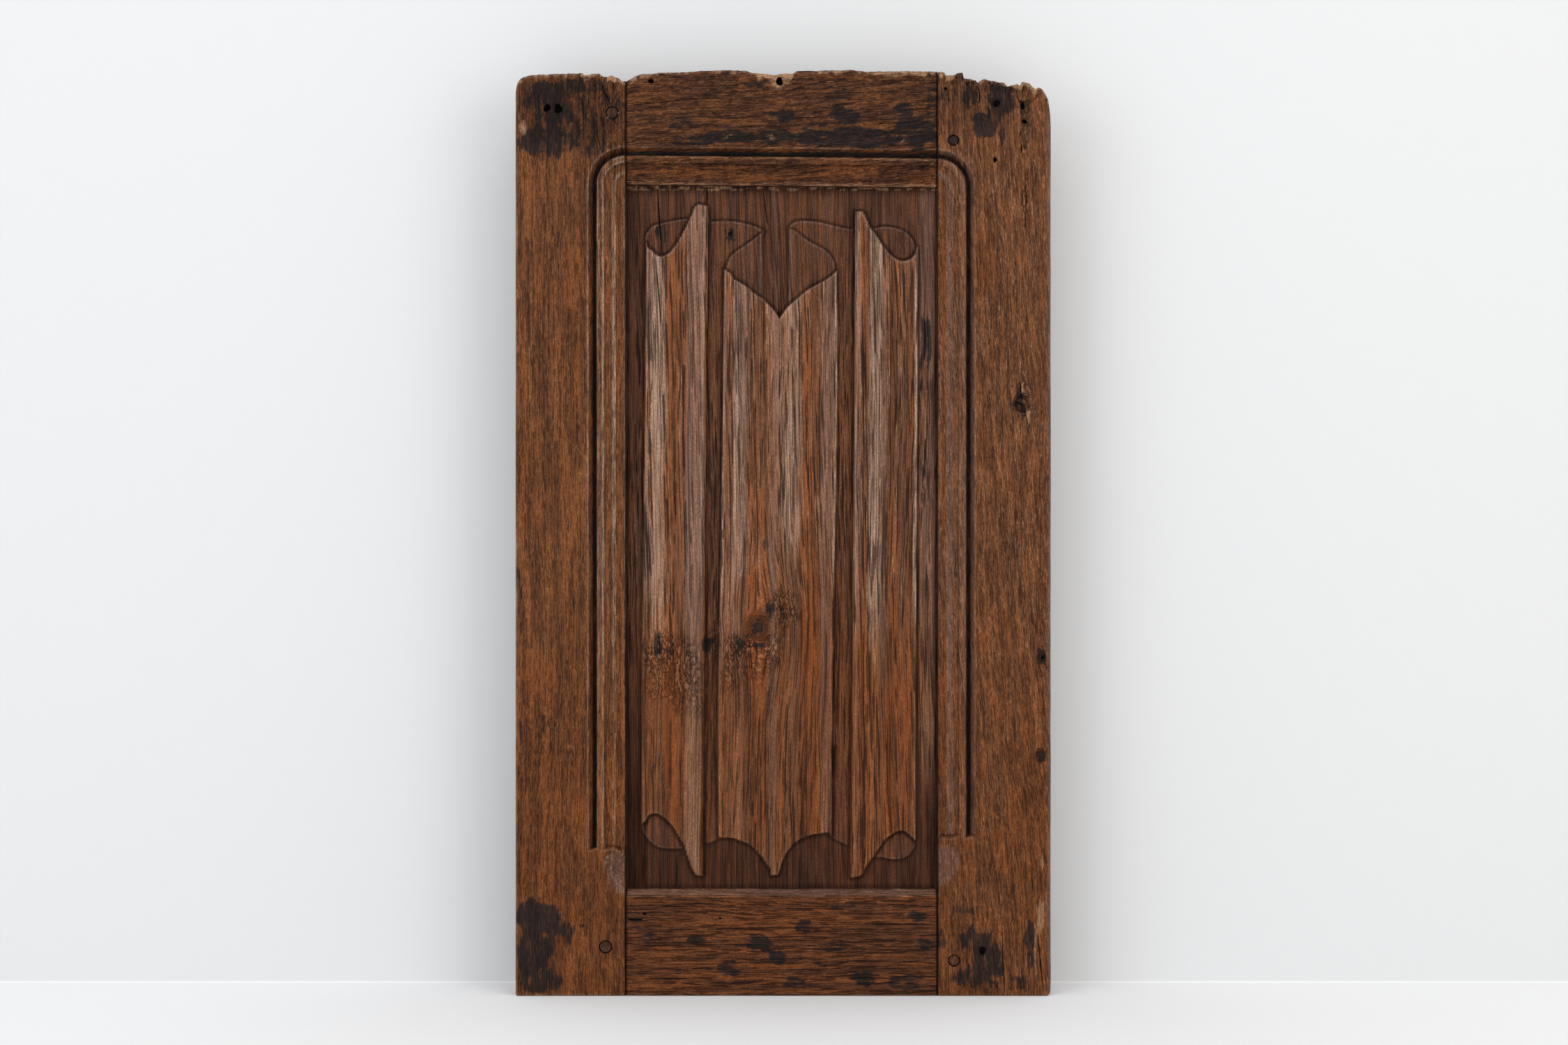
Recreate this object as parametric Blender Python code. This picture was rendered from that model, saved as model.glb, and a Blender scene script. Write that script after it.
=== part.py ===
"""A framed linenfold panel in old oak, to be built into a wall's panelling.

Two stiles and two rails with a moulded inner edge hold a board that is carved with three folds
of linen. A peg goes through each of the four mortise and tenon joints. The front faces -Y, and
the origin is on the back of the top rail, halfway across. All sizes are in metres.
"""
import math

import bmesh
import bpy
from mathutils import Matrix, Vector

# Frame
FRAME_THICKNESS = 0.034
LEFT_STILE_WIDTH = 0.109
RIGHT_STILE_WIDTH = 0.1125
OPENING_WIDTH = 0.310
OPENING_HEIGHT = 0.6995
TOP_RAIL_HEIGHT = 0.1155
BOTTOM_RAIL_HEIGHT = 0.1055
ORIGIN_BELOW_TOP = 0.056
TOP_RAIL_DROP = 0.003
SILL_SLOPE_HEIGHT = 0.0065
ARRIS_ROUND = 0.0012
WORN_ARRIS_ROUND = 0.0045
TOP_WEAR = 0.020

# Joints between stiles and rails
TENON_THICKNESS = 0.010
TENON_LENGTH = 0.055
TENON_SHOULDER = 0.014
TENON_TOP_MARGIN = 0.024
TENON_BOTTOM_MARGIN = 0.018
MORTISE_PLAY = 0.002
FIT = 0.0003

# Grooves and board
GROOVE_WIDTH = 0.008
GROOVE_DEPTH = 0.010
GROOVE_LIP = 0.012
BOARD_PLAY = 0.002
BOARD_CORE = 0.0112
BOARD_RIM = 0.014
BOARD_BEVEL = 0.024

# Pegs: diameter, distance from the opening's edge, distance from the frame's end
PEG_SIDES = 18
PEG_TAPER = 0.92
PEG_SET_BACK = 0.0004
UPPER_LEFT_PEG = (0.0122, 0.0133, 0.0432)
UPPER_RIGHT_PEG = (0.0106, 0.0158, 0.0706)
LOWER_LEFT_PEG = (0.0127, 0.0198, 0.0486)
LOWER_RIGHT_PEG = (0.0116, 0.0163, 0.0350)

# Moulding on the frame's inner edge
MOULDING_WIDTH = 0.037
MOULDING_DEPTH = 0.0056
MOULDING_TURN_STEPS = 10
LEFT_STOP_HEIGHT = 0.0395
RIGHT_STOP_HEIGHT = 0.0512
STOP_RUN = 0.003

# Carving on the board: heights above the sunk ground
CLOTH_HEIGHT = 0.0016
SECOND_FOLD_HEIGHT = 0.0029
FOLD_EDGE_HEIGHT = 0.0048
ROLL_HEIGHT = 0.0062
HOLLOW_HEIGHT = 0.0040
CREST_HEIGHT = 0.0090
SPIKE_HEIGHT = 0.0058
SPIKE_FALL = 0.045
FOLD_LEAN = 0.0042
CARVING_ROOT = 0.0012

# Places that follow from the sizes
TOTAL_WIDTH = LEFT_STILE_WIDTH + OPENING_WIDTH + RIGHT_STILE_WIDTH
TOTAL_HEIGHT = BOTTOM_RAIL_HEIGHT + OPENING_HEIGHT + TOP_RAIL_HEIGHT
LEFT = -TOTAL_WIDTH / 2
RIGHT = TOTAL_WIDTH / 2
TOP = ORIGIN_BELOW_TOP
BOTTOM = TOP - TOTAL_HEIGHT
OPENING_LEFT = LEFT + LEFT_STILE_WIDTH
OPENING_RIGHT = RIGHT - RIGHT_STILE_WIDTH
OPENING_TOP = TOP - TOP_RAIL_HEIGHT
OPENING_BOTTOM = BOTTOM + BOTTOM_RAIL_HEIGHT
FRONT = -FRAME_THICKNESS
GROOVE_FRONT = FRONT + GROOVE_LIP
GROOVE_BACK = GROOVE_FRONT + GROOVE_WIDTH
GROUND = GROOVE_FRONT + FIT
TONGUE_BACK = GROOVE_BACK - FIT
JOINT_MIDDLE = (GROOVE_FRONT + GROOVE_BACK) / 2
PROUD = 0.005

# The worn top edge: share of the piece's width, share of TOP_WEAR that is lost
LEFT_STILE_WEAR = [
    (0.00, 0.98), (0.02, 0.62), (0.06, 0.42), (0.14, 0.28), (0.60, 0.16), (0.76, 0.20),
    (0.80, 0.34), (0.87, 0.28), (0.94, 0.46), (1.00, 0.58),
]
TOP_RAIL_WEAR = [
    (0.00, 0.56), (0.03, 0.32), (0.11, 0.14), (0.30, 0.03), (0.39, 0.03), (0.44, 0.19),
    (0.51, 0.20), (0.59, 0.07), (0.73, 0.00), (0.79, 0.09), (1.00, 0.05),
]
RIGHT_STILE_WEAR = [
    (0.00, 0.10), (0.05, 0.12), (0.08, 0.30), (0.17, 0.15), (0.22, 0.13), (0.24, 0.43),
    (0.34, 0.54), (0.36, 0.64), (0.40, 0.50), (0.59, 0.64), (0.62, 0.80), (0.71, 0.68),
    (0.75, 0.60), (0.85, 0.88), (0.92, 0.84), (0.96, 1.15), (0.99, 1.75), (1.00, 2.60),
]

# Moulding section: share of its width out from the opening, share of its depth
MOULDING = [
    (0.00, 0.82), (0.03, 0.70), (0.10, 0.67), (0.16, 0.80), (0.26, 0.93), (0.38, 0.92),
    (0.48, 0.80), (0.56, 0.58), (0.59, 0.30), (0.62, 0.18), (0.68, 0.14), (0.73, 0.20),
    (0.77, 0.40), (0.80, 0.92), (0.86, 1.00), (0.92, 0.68), (1.00, 0.00),
]

# The carving is set out in 310ths of the opening's width, from its left edge, and down from its
# top edge or up from its bottom edge.
UNIT = OPENING_WIDTH / 310
SIDE_FOLD = (18.7, 78.9)
CENTRE_FOLD = (95.5, 206.2)
RIGHT_FOLD = (287.3, 225.6)

LEFT_LOOP_TOP = [(18.0, 57.0), (22.2, 63.7), (32.6, 69.5), (45.7, 57.4), (60.3, 33.2)]
LEFT_SPIKE_TOP = [(68.6, 19.0), (80.0, 18.7)]
LEFT_SPIKE_BOTTOM = [(80.0, 12.1), (71.5, 12.1), (60.5, 40.8)]
LEFT_LOOP_BOTTOM = [(60.5, 40.8), (44.2, 65.7), (30.0, 74.7), (21.4, 67.1), (18.0, 68.5)]
RIGHT_LOOP_TOP = [(288.0, 63.0), (275.5, 74.5), (261.0, 68.8), (252.2, 58.8), (241.8, 42.9)]
RIGHT_SPIKE_TOP = [(234.7, 25.6), (224.6, 25.6)]
RIGHT_SPIKE_BOTTOM = [(224.6, 11.8), (234.5, 12.5), (248.6, 31.8)]
RIGHT_LOOP_BOTTOM = [(248.6, 31.8), (264.0, 51.2), (276.0, 57.1), (285.7, 51.9), (288.5, 47.7)]
CENTRE_TOP = [
    (95.0, 81.0), (103.9, 91.3), (118.4, 99.3), (135.7, 112.8), (150.9, 132.2),
    (164.1, 114.9), (183.9, 99.6), (202.1, 90.7), (207.0, 84.0),
]
CENTRE_BOTTOM = [
    (207.0, 56.0), (184.0, 52.6), (168.1, 43.6), (158.0, 26.3), (152.9, 13.1),
    (148.0, 13.1), (142.5, 22.8), (128.6, 40.5), (110.0, 49.8), (95.0, 49.8),
]
LEFT_SECOND_FOLD = [
    (97.6, 90.0), (98.2, 80.0), (101.1, 73.4), (108.0, 64.4), (118.4, 56.1), (133.6, 47.1),
]
RIGHT_SECOND_FOLD = [
    (161.3, 42.9), (167.3, 43.5), (178.3, 52.2), (189.4, 60.5), (198.0, 65.7), (203.5, 74.0),
    (207.0, 88.0),
]
LEFT_CLOTH_TOP = [
    (18.0, 62.0), (17.8, 48.0), (24.3, 39.8), (42.3, 34.6), (61.7, 32.2), (76.2, 36.0),
    (98.3, 34.3), (117.7, 36.7), (136.1, 45.7),
]
LEFT_CLOTH_BOTTOM = [
    (95.4, 50.5), (78.8, 44.3), (60.5, 40.0), (43.5, 39.4), (34.1, 41.0), (26.9, 46.0),
    (20.0, 54.0), (17.5, 64.0),
]
RIGHT_CLOTH_TOP = [
    (160.3, 40.8), (167.5, 35.3), (175.2, 33.5), (197.3, 37.4), (228.4, 42.9), (242.3, 42.2),
    (255.4, 39.9), (274.1, 44.0), (284.0, 54.0), (287.6, 64.0),
]
RIGHT_CLOTH_BOTTOM = [
    (289.4, 48.0), (283.0, 32.5), (275.0, 29.1), (265.0, 29.1), (249.7, 31.8), (226.9, 41.5),
    (212.2, 49.1), (200.0, 56.0),
]


def collection(name, hidden=False):
    """A collection in the scene."""
    made = bpy.data.collections.new(name)
    bpy.context.scene.collection.children.link(made)
    made.hide_render = hidden
    return made


def material(name, colour, roughness):
    """An oak finish."""
    made = bpy.data.materials.new(name)
    made.use_nodes = True
    shader = made.node_tree.nodes["Principled BSDF"]
    shader.inputs["Base Color"].default_value = (*colour, 1.0)
    shader.inputs["Roughness"].default_value = roughness
    shader.inputs["Metallic"].default_value = 0.0
    return made


def as_object(name, mesh, group, finish=None):
    """An object that shows the mesh, in its collection and with its finish."""
    made = bpy.data.objects.new(name, mesh)
    group.objects.link(made)
    if finish is not None:
        mesh.materials.append(finish)
    return made


def as_cutter(piece):
    """Leaves a helper out of the render."""
    piece.hide_render = True
    piece.display_type = "WIRE"
    return piece


def combine(piece, other, operation):
    """Cuts, joins or intersects a piece with a helper."""
    step = piece.modifiers.new(f"{operation.title()} {other.name}", "BOOLEAN")
    step.operation = operation
    step.solver = "EXACT"
    step.object = other


def box(name, group, low, high, finish=None):
    """A box between two corners."""
    size = Vector(high) - Vector(low)
    centre = (Vector(high) + Vector(low)) / 2
    bm = bmesh.new()
    bmesh.ops.create_cube(bm, size=1.0, matrix=Matrix.Diagonal((*size, 1.0)))
    mesh = bpy.data.meshes.new(name)
    bm.to_mesh(mesh)
    bm.free()
    made = as_object(name, mesh, group, finish)
    made.location = centre
    return made


def smooth(points, steps=3):
    """Points on a soft curve through the given ones."""
    ends = [points[0], *points, points[-1]]
    curve = []
    for index in range(1, len(ends) - 2):
        before, start, stop, after = (Vector(ends[index + k]) for k in (-1, 0, 1, 2))
        for step in range(steps):
            t = step / steps
            point = (
                start * 2
                + (stop - before) * t
                + (before * 2 - start * 5 + stop * 4 - after) * t * t
                + (start * 3 - before - stop * 3 + after) * t * t * t
            ) / 2
            curve.append((point.x, point.y))
    curve.append(tuple(points[-1]))
    return curve


def plate(name, group, outline, front, back, finish=None):
    """A flat outline in X and Z, as thick as the distance from front to back."""
    curve = bpy.data.curves.new(name, "CURVE")
    curve.dimensions = "2D"
    curve.fill_mode = "BOTH"
    curve.extrude = (back - front) / 2
    line = curve.splines.new("POLY")
    line.points.add(len(outline) - 1)
    line.use_cyclic_u = True
    for point, (x, z) in zip(line.points, outline):
        point.co = (x, z, 0.0, 1.0)
    drawn = bpy.data.objects.new(name + " outline", curve)
    bpy.context.scene.collection.objects.link(drawn)
    evaluated = drawn.evaluated_get(bpy.context.evaluated_depsgraph_get())
    mesh = bpy.data.meshes.new_from_object(evaluated)
    bpy.data.objects.remove(drawn)
    bm = bmesh.new()
    bm.from_mesh(mesh)
    bmesh.ops.remove_doubles(bm, verts=bm.verts, dist=0.00001)
    bmesh.ops.rotate(bm, verts=bm.verts, matrix=Matrix.Rotation(math.pi / 2, 3, "X"))
    bmesh.ops.recalc_face_normals(bm, faces=bm.faces)
    bm.to_mesh(mesh)
    bm.free()
    made = as_object(name, mesh, group, finish)
    made.location = (0.0, (front + back) / 2, 0.0)
    return made


def loft(name, group, rings, finish=None):
    """A closed solid through rings that all have as many points."""
    bm = bmesh.new()
    rows = [[bm.verts.new(point) for point in ring] for ring in rings]
    for near, far in zip(rows, rows[1:]):
        for index in range(len(near)):
            following = (index + 1) % len(near)
            bm.faces.new((near[index], near[following], far[following], far[index]))
    bm.faces.new(list(reversed(rows[0])))
    bm.faces.new(rows[-1])
    bmesh.ops.remove_doubles(bm, verts=bm.verts, dist=0.000001)
    bmesh.ops.recalc_face_normals(bm, faces=bm.faces)
    mesh = bpy.data.meshes.new(name)
    bm.to_mesh(mesh)
    bm.free()
    return as_object(name, mesh, group, finish)


def round_edges(piece, chosen, radius, segments=2):
    """Rounds the edges whose two ends both satisfy the test."""
    bm = bmesh.new()
    bm.from_mesh(piece.data)
    edges = [edge for edge in bm.edges if all(chosen(vert.co) for vert in edge.verts)]
    edges = [edge for edge in edges if edge.calc_length() > 2 * radius]
    bmesh.ops.bevel(
        bm, geom=edges, offset=radius, segments=segments, profile=0.5, affect="EDGES",
        clamp_overlap=True,
    )
    bm.to_mesh(piece.data)
    bm.free()


def worn_top(start, width, wear):
    """The worn upper edge of a frame piece, from left to right."""
    return [(start + across * width, TOP - lost * TOP_WEAR) for across, lost in wear]


def moulding_ring(place, start=0.0):
    """One section of the moulding's cutter, from the opening outwards."""
    ring = [place(start, -PROUD)]
    ring.append(place(start, MOULDING[0][1] * MOULDING_DEPTH))
    for across, depth in MOULDING[1:]:
        ring.append(place(across * MOULDING_WIDTH, depth * MOULDING_DEPTH))
    ring.append(place(MOULDING_WIDTH + PROUD * 0.2, -PROUD))
    return ring


def stile_moulding(name, group, edge, side, corner, stop):
    """The cutter for a stile: up the inner edge and round the top corner to the joint."""
    def stopped(out, depth):
        return (edge + side * out, FRONT + depth, stop + max(depth, 0) / MOULDING_DEPTH * STOP_RUN)

    def straight(out, depth):
        return (edge + side * out, FRONT + depth, corner - PROUD)

    def turned(angle):
        def place(out, depth):
            x = edge + side * out * math.cos(angle)
            return (x, FRONT + depth, corner + out * math.sin(angle))
        return place

    def beyond(out, depth):
        return (edge - side * PROUD, FRONT + depth, corner + out)

    rings = [moulding_ring(stopped, -PROUD), moulding_ring(straight, -PROUD)]
    for step in range(MOULDING_TURN_STEPS + 1):
        rings.append(moulding_ring(turned(math.pi / 2 * step / MOULDING_TURN_STEPS)))
    rings.append(moulding_ring(beyond))
    return as_cutter(loft(name, group, rings))


def rail_edge(x):
    """Height of the top rail's lower edge, which falls a little from left to right."""
    across = (x - OPENING_LEFT) / OPENING_WIDTH
    return OPENING_TOP + TOP_RAIL_DROP * (0.5 - across)


def peg_place(side, end, size):
    """Centre of a peg: side is -1 for the left stile, end is 1 for the top."""
    _, inset, from_end = size
    x = OPENING_LEFT - inset if side < 0 else OPENING_RIGHT + inset
    z = TOP - from_end if end > 0 else BOTTOM + from_end
    return x, z


def peg_solid(name, group, side, end, size, spare=0.0, finish=None):
    """A riven peg through the frame, or with spare room the hole for it."""
    x, z = peg_place(side, end, size)
    radius = size[0] / 2
    front = FRONT - PROUD if spare else FRONT + PEG_SET_BACK
    back = PROUD if spare else -PEG_SET_BACK
    room = spare / math.cos(math.pi / PEG_SIDES)
    bm = bmesh.new()
    bmesh.ops.create_cone(
        bm, cap_ends=True, segments=PEG_SIDES, radius1=radius + room,
        radius2=radius + room if spare else radius * PEG_TAPER, depth=back - front,
        matrix=Matrix.Rotation(-math.pi / 2, 4, "X"),
    )
    mesh = bpy.data.meshes.new(name)
    bm.to_mesh(mesh)
    bm.free()
    made = as_object(name, mesh, group, finish)
    made.location = (x, (front + back) / 2, z)
    return made


def tenon_span(end):
    """Lowest and highest point of the tenons of the top rail, or of the bottom rail."""
    if end > 0:
        return OPENING_TOP + TENON_SHOULDER, TOP - TENON_TOP_MARGIN
    return BOTTOM + TENON_BOTTOM_MARGIN, OPENING_BOTTOM - TENON_SHOULDER


def stile(name, group, cutters, finish, side, wear, pegs, stop, rounds):
    """A stile with its two mortises, groove, moulding and peg holes."""
    outer, inner = (LEFT, OPENING_LEFT) if side < 0 else (RIGHT, OPENING_RIGHT)
    start = min(outer, inner)
    outline = [(start, BOTTOM), (max(outer, inner), BOTTOM)]
    outline += reversed(worn_top(start, abs(outer - inner), wear))
    piece = plate(name, group, outline, FRONT, 0.0, finish)
    half = FRAME_THICKNESS / 2

    def outer_front(point):
        return abs(point.x - outer) < 0.0001 and point.y < -half * 0.9

    def outer_back(point):
        return abs(point.x - outer) < 0.0001 and point.y > half * 0.9

    round_edges(piece, outer_front, rounds, 3)
    round_edges(piece, outer_back, ARRIS_ROUND)
    corner = rail_edge(inner)
    groove = box(
        f"{name} groove", cutters,
        (min(inner - PROUD, inner + side * GROOVE_DEPTH), GROOVE_FRONT,
         OPENING_BOTTOM - TENON_SHOULDER - FIT),
        (max(inner + PROUD, inner + side * GROOVE_DEPTH), GROOVE_BACK,
         OPENING_TOP + TENON_SHOULDER + FIT),
    )
    combine(piece, as_cutter(groove), "DIFFERENCE")
    for end in (1, -1):
        low, high = tenon_span(end)
        depth = TENON_LENGTH + MORTISE_PLAY
        mortise = box(
            f"{name} mortise {'upper' if end > 0 else 'lower'}", cutters,
            (min(inner - PROUD, inner + side * depth), JOINT_MIDDLE - TENON_THICKNESS / 2 - FIT,
             low - FIT),
            (max(inner + PROUD, inner + side * depth), JOINT_MIDDLE + TENON_THICKNESS / 2 + FIT,
             high + FIT),
        )
        combine(piece, as_cutter(mortise), "DIFFERENCE")
    moulded = stile_moulding(
        f"{name} moulding", cutters, inner, side, corner, OPENING_BOTTOM + stop
    )
    combine(piece, moulded, "DIFFERENCE")
    for hole in pegs:
        combine(piece, hole, "DIFFERENCE")
    return piece


def rail_section(end):
    """Section of a rail in Y and Z, with the groove in the edge that holds the board."""
    if end > 0:
        edge = OPENING_TOP
        section = [(GROOVE_FRONT, edge)]
        for across, depth in MOULDING:
            section.append((FRONT + depth * MOULDING_DEPTH, edge + across * MOULDING_WIDTH))
        section += [
            (FRONT, TOP), (0.0, TOP), (0.0, edge), (GROOVE_BACK, edge),
            (GROOVE_BACK, edge + GROOVE_DEPTH), (GROOVE_FRONT, edge + GROOVE_DEPTH),
        ]
        return section
    edge = OPENING_BOTTOM
    return [
        (GROOVE_FRONT, edge), (FRONT, edge - SILL_SLOPE_HEIGHT), (FRONT, BOTTOM), (0.0, BOTTOM),
        (0.0, edge), (GROOVE_BACK, edge), (GROOVE_BACK, edge - GROOVE_DEPTH),
        (GROOVE_FRONT, edge - GROOVE_DEPTH),
    ]


def rail(name, group, cutters, finish, end, pegs):
    """A rail with its section along its whole length and a tenon at each end."""
    rings = []
    for x in (OPENING_LEFT + FIT, OPENING_RIGHT - FIT):
        shift = rail_edge(x) - OPENING_TOP if end > 0 else 0.0
        rings.append([
            (x, y, z + (shift if z < OPENING_TOP + MOULDING_WIDTH * 1.01 else 0.0))
            for y, z in rail_section(end)
        ])
    piece = loft(name, group, rings, finish)
    if end > 0:
        outline = worn_top(OPENING_LEFT, OPENING_WIDTH, TOP_RAIL_WEAR)
        outline = [(OPENING_LEFT - PROUD, outline[0][1]), *outline]
        outline.append((OPENING_RIGHT + PROUD, outline[-1][1]))
        outline += [(OPENING_RIGHT + PROUD, TOP + TOP_WEAR), (OPENING_LEFT - PROUD, TOP + TOP_WEAR)]
        worn = plate(f"{name} wear", cutters, outline, FRONT - PROUD, PROUD)
        combine(piece, as_cutter(worn), "DIFFERENCE")
    low, high = tenon_span(end)
    for side, edge in ((-1, OPENING_LEFT), (1, OPENING_RIGHT)):
        reach = edge + side * TENON_LENGTH
        root = edge - side * TENON_SHOULDER
        tenon = box(
            f"{name} tenon {'left' if side < 0 else 'right'}", cutters,
            (min(reach, root), JOINT_MIDDLE - TENON_THICKNESS / 2, low),
            (max(reach, root), JOINT_MIDDLE + TENON_THICKNESS / 2, high),
        )
        combine(piece, as_cutter(tenon), "UNION")
    for hole in pegs:
        combine(piece, hole, "DIFFERENCE")
    return piece


def leaned(x, z):
    """The folds lean a little to the left on their way down."""
    middle = (OPENING_TOP + OPENING_BOTTOM) / 2
    return x + FOLD_LEAN * (z - middle) / OPENING_HEIGHT


def from_top(points):
    """Places of the carving that are measured down from the opening's top."""
    placed = [(OPENING_LEFT + x * UNIT, OPENING_TOP - down * UNIT) for x, down in points]
    return [(leaned(x, z), z) for x, z in placed]


def from_bottom(points):
    """Places of the carving that are measured up from the opening's bottom."""
    placed = [(OPENING_LEFT + x * UNIT, OPENING_BOTTOM + up * UNIT) for x, up in points]
    return [(leaned(x, z), z) for x, z in placed]


def blend(start, stop, share):
    """An even S-shaped passage between two heights."""
    return start + (stop - start) * (1 - math.cos(math.pi * share)) / 2


def half_fold(crest):
    """From a fold's edge to its crest: edge, roll, hollow and rising flank."""
    section = [(0.0, FOLD_EDGE_HEIGHT * 0.80), (0.02, FOLD_EDGE_HEIGHT)]
    for step in range(1, 4):
        section.append((0.02 + 0.13 * step / 3, blend(FOLD_EDGE_HEIGHT, ROLL_HEIGHT, step / 3)))
    for step in range(1, 6):
        section.append((0.15 + 0.45 * step / 5, blend(ROLL_HEIGHT, HOLLOW_HEIGHT, step / 5)))
    for step in range(1, 6):
        share = step / 5
        height = HOLLOW_HEIGHT + (CREST_HEIGHT - HOLLOW_HEIGHT) * share ** 1.7
        section.append((0.60 + 0.40 * share, height))
    return [(across * crest, height) for across, height in section]


def side_section():
    """Across a side fold, whose crest falls steeply to the recess beside it."""
    return [*half_fold(0.92), (0.945, CREST_HEIGHT * 0.93), (1.0, CREST_HEIGHT * 0.30)]


def centre_section():
    """Across the centre fold, which is the same to both sides of its crest."""
    half = half_fold(0.5)
    return half + [(1.0 - across, height) for across, height in reversed(half[:-1])]


def fold(name, cutters, span, section, outline):
    """One fold over the board's whole height, cut at its ends to the outline."""
    start = OPENING_LEFT + span[0] * UNIT
    width = (span[1] - span[0]) * UNIT
    full = OPENING_HEIGHT - 2 * SPIKE_FALL
    stations = [
        (OPENING_BOTTOM, SPIKE_HEIGHT), (OPENING_BOTTOM + SPIKE_FALL, CREST_HEIGHT),
        (OPENING_BOTTOM + SPIKE_FALL + full, CREST_HEIGHT), (OPENING_TOP, SPIKE_HEIGHT),
    ]
    rings = []
    for z, limit in stations:
        ring = [(leaned(start, z), GROUND + CARVING_ROOT, z)]
        for across, height in section:
            ring.append((leaned(start + across * width, z), GROUND - min(height, limit), z))
        ring.append((leaned(start + width, z), GROUND + CARVING_ROOT, z))
        rings.append(ring)
    solid = as_cutter(loft(name, cutters, rings))
    shape = plate(f"{name} ends", cutters, outline, FRONT - PROUD, GROUND + CARVING_ROOT * 0.8)
    combine(solid, as_cutter(shape), "INTERSECT")
    return solid


def board(name, group, cutters, finish):
    """The carved board, with its back bevelled down to the edges that sit in the grooves."""
    reach = GROOVE_DEPTH - BOARD_PLAY
    low = Vector((OPENING_LEFT - reach, GROUND, OPENING_BOTTOM - reach))
    high = Vector((OPENING_RIGHT + reach, TONGUE_BACK, OPENING_TOP + reach))
    piece = box(name, group, low, high, finish)
    bm = bmesh.new()
    bm.from_mesh(piece.data)
    back = [face for face in bm.faces if face.normal.y > 0.9]
    bmesh.ops.inset_region(bm, faces=back, thickness=BOARD_RIM)
    back = [face for face in bm.faces if face.normal.y > 0.9 and len(face.verts) == 4]
    middle = min(back, key=lambda face: face.calc_center_median().length)
    bmesh.ops.inset_region(bm, faces=[middle], thickness=BOARD_BEVEL)
    swell = BOARD_CORE - (TONGUE_BACK - GROUND)
    bmesh.ops.translate(bm, verts=middle.verts, vec=(0.0, swell, 0.0))
    bm.to_mesh(piece.data)
    bm.free()
    root = GROUND + CARVING_ROOT

    top, bottom = from_top, from_bottom
    left_cloth = [
        *smooth(top(LEFT_CLOTH_TOP), 2), *top([(133.4, 112.0)]), *bottom([(118.0, 62.0)]),
        *smooth(bottom(LEFT_CLOTH_BOTTOM), 2),
    ]
    right_cloth = [
        *smooth(top(RIGHT_CLOTH_TOP), 2), *smooth(bottom(RIGHT_CLOTH_BOTTOM), 2),
        *bottom([(180.0, 62.0)]), *top([(161.3, 116.0)]),
    ]
    left_second = [
        *smooth(top(LEFT_SECOND_FOLD), 2), *top([(133.6, 118.0), (120.0, 110.0), (104.0, 100.0)]),
    ]
    right_second = [
        *smooth(top(RIGHT_SECOND_FOLD), 2), *top([(200.0, 100.0), (182.0, 110.0), (161.3, 124.0)]),
    ]
    layers = [
        ("left cloth", left_cloth, CLOTH_HEIGHT), ("right cloth", right_cloth, CLOTH_HEIGHT),
        ("left second fold", left_second, SECOND_FOLD_HEIGHT),
        ("right second fold", right_second, SECOND_FOLD_HEIGHT),
    ]
    for label, outline, height in layers:
        layer = plate(f"{name} {label}", cutters, outline, GROUND - height, root)
        combine(piece, as_cutter(layer), "UNION")

    left_outline = [
        *smooth(top(LEFT_LOOP_TOP)), *top(LEFT_SPIKE_TOP), *bottom(LEFT_SPIKE_BOTTOM[:2]),
        *smooth(bottom(LEFT_LOOP_BOTTOM)),
    ]
    right_outline = [
        *smooth(top(RIGHT_LOOP_TOP)), *top(RIGHT_SPIKE_TOP), *bottom(RIGHT_SPIKE_BOTTOM[:2]),
        *smooth(bottom(RIGHT_LOOP_BOTTOM)),
    ]
    centre_outline = [*smooth(top(CENTRE_TOP), 2), *smooth(bottom(CENTRE_BOTTOM), 2)]
    folds = [
        ("left fold", SIDE_FOLD, side_section(), left_outline),
        ("centre fold", CENTRE_FOLD, centre_section(), centre_outline),
        ("right fold", RIGHT_FOLD, side_section(), right_outline),
    ]
    for label, span, section, outline in folds:
        combine(piece, fold(f"{name} {label}", cutters, span, section, outline), "UNION")
    return piece


def main():
    """Builds the panel in an empty scene."""
    for thing in list(bpy.data.objects):
        bpy.data.objects.remove(thing, do_unlink=True)
    pieces = collection("Linenfold panel")
    cutters = collection("Cutters", hidden=True)

    oak = {
        "stile": material("Oak stile", (0.135, 0.052, 0.024), 0.50),
        "rail": material("Oak rail", (0.078, 0.032, 0.018), 0.52),
        "board": material("Oak board", (0.155, 0.062, 0.030), 0.45),
        "peg": material("Oak peg", (0.070, 0.034, 0.021), 0.60),
    }
    corners = {
        "upper_left": (-1, 1, UPPER_LEFT_PEG), "upper_right": (1, 1, UPPER_RIGHT_PEG),
        "lower_left": (-1, -1, LOWER_LEFT_PEG), "lower_right": (1, -1, LOWER_RIGHT_PEG),
    }
    holes = {}
    for label, (side, end, size) in corners.items():
        peg_solid(f"peg_{label}", pieces, side, end, size, finish=oak["peg"])
        holes[label] = as_cutter(peg_solid(f"hole_{label}", cutters, side, end, size, FIT))

    stile(
        "stile_left", pieces, cutters, oak["stile"], -1, LEFT_STILE_WEAR,
        [holes["upper_left"], holes["lower_left"]], LEFT_STOP_HEIGHT, ARRIS_ROUND,
    )
    stile(
        "stile_right", pieces, cutters, oak["stile"], 1, RIGHT_STILE_WEAR,
        [holes["upper_right"], holes["lower_right"]], RIGHT_STOP_HEIGHT, WORN_ARRIS_ROUND,
    )
    rail(
        "rail_top", pieces, cutters, oak["rail"], 1, [holes["upper_left"], holes["upper_right"]]
    )
    rail(
        "rail_bottom", pieces, cutters, oak["rail"], -1,
        [holes["lower_left"], holes["lower_right"]],
    )
    board("linenfold_board", pieces, cutters, oak["board"])


main()
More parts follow.
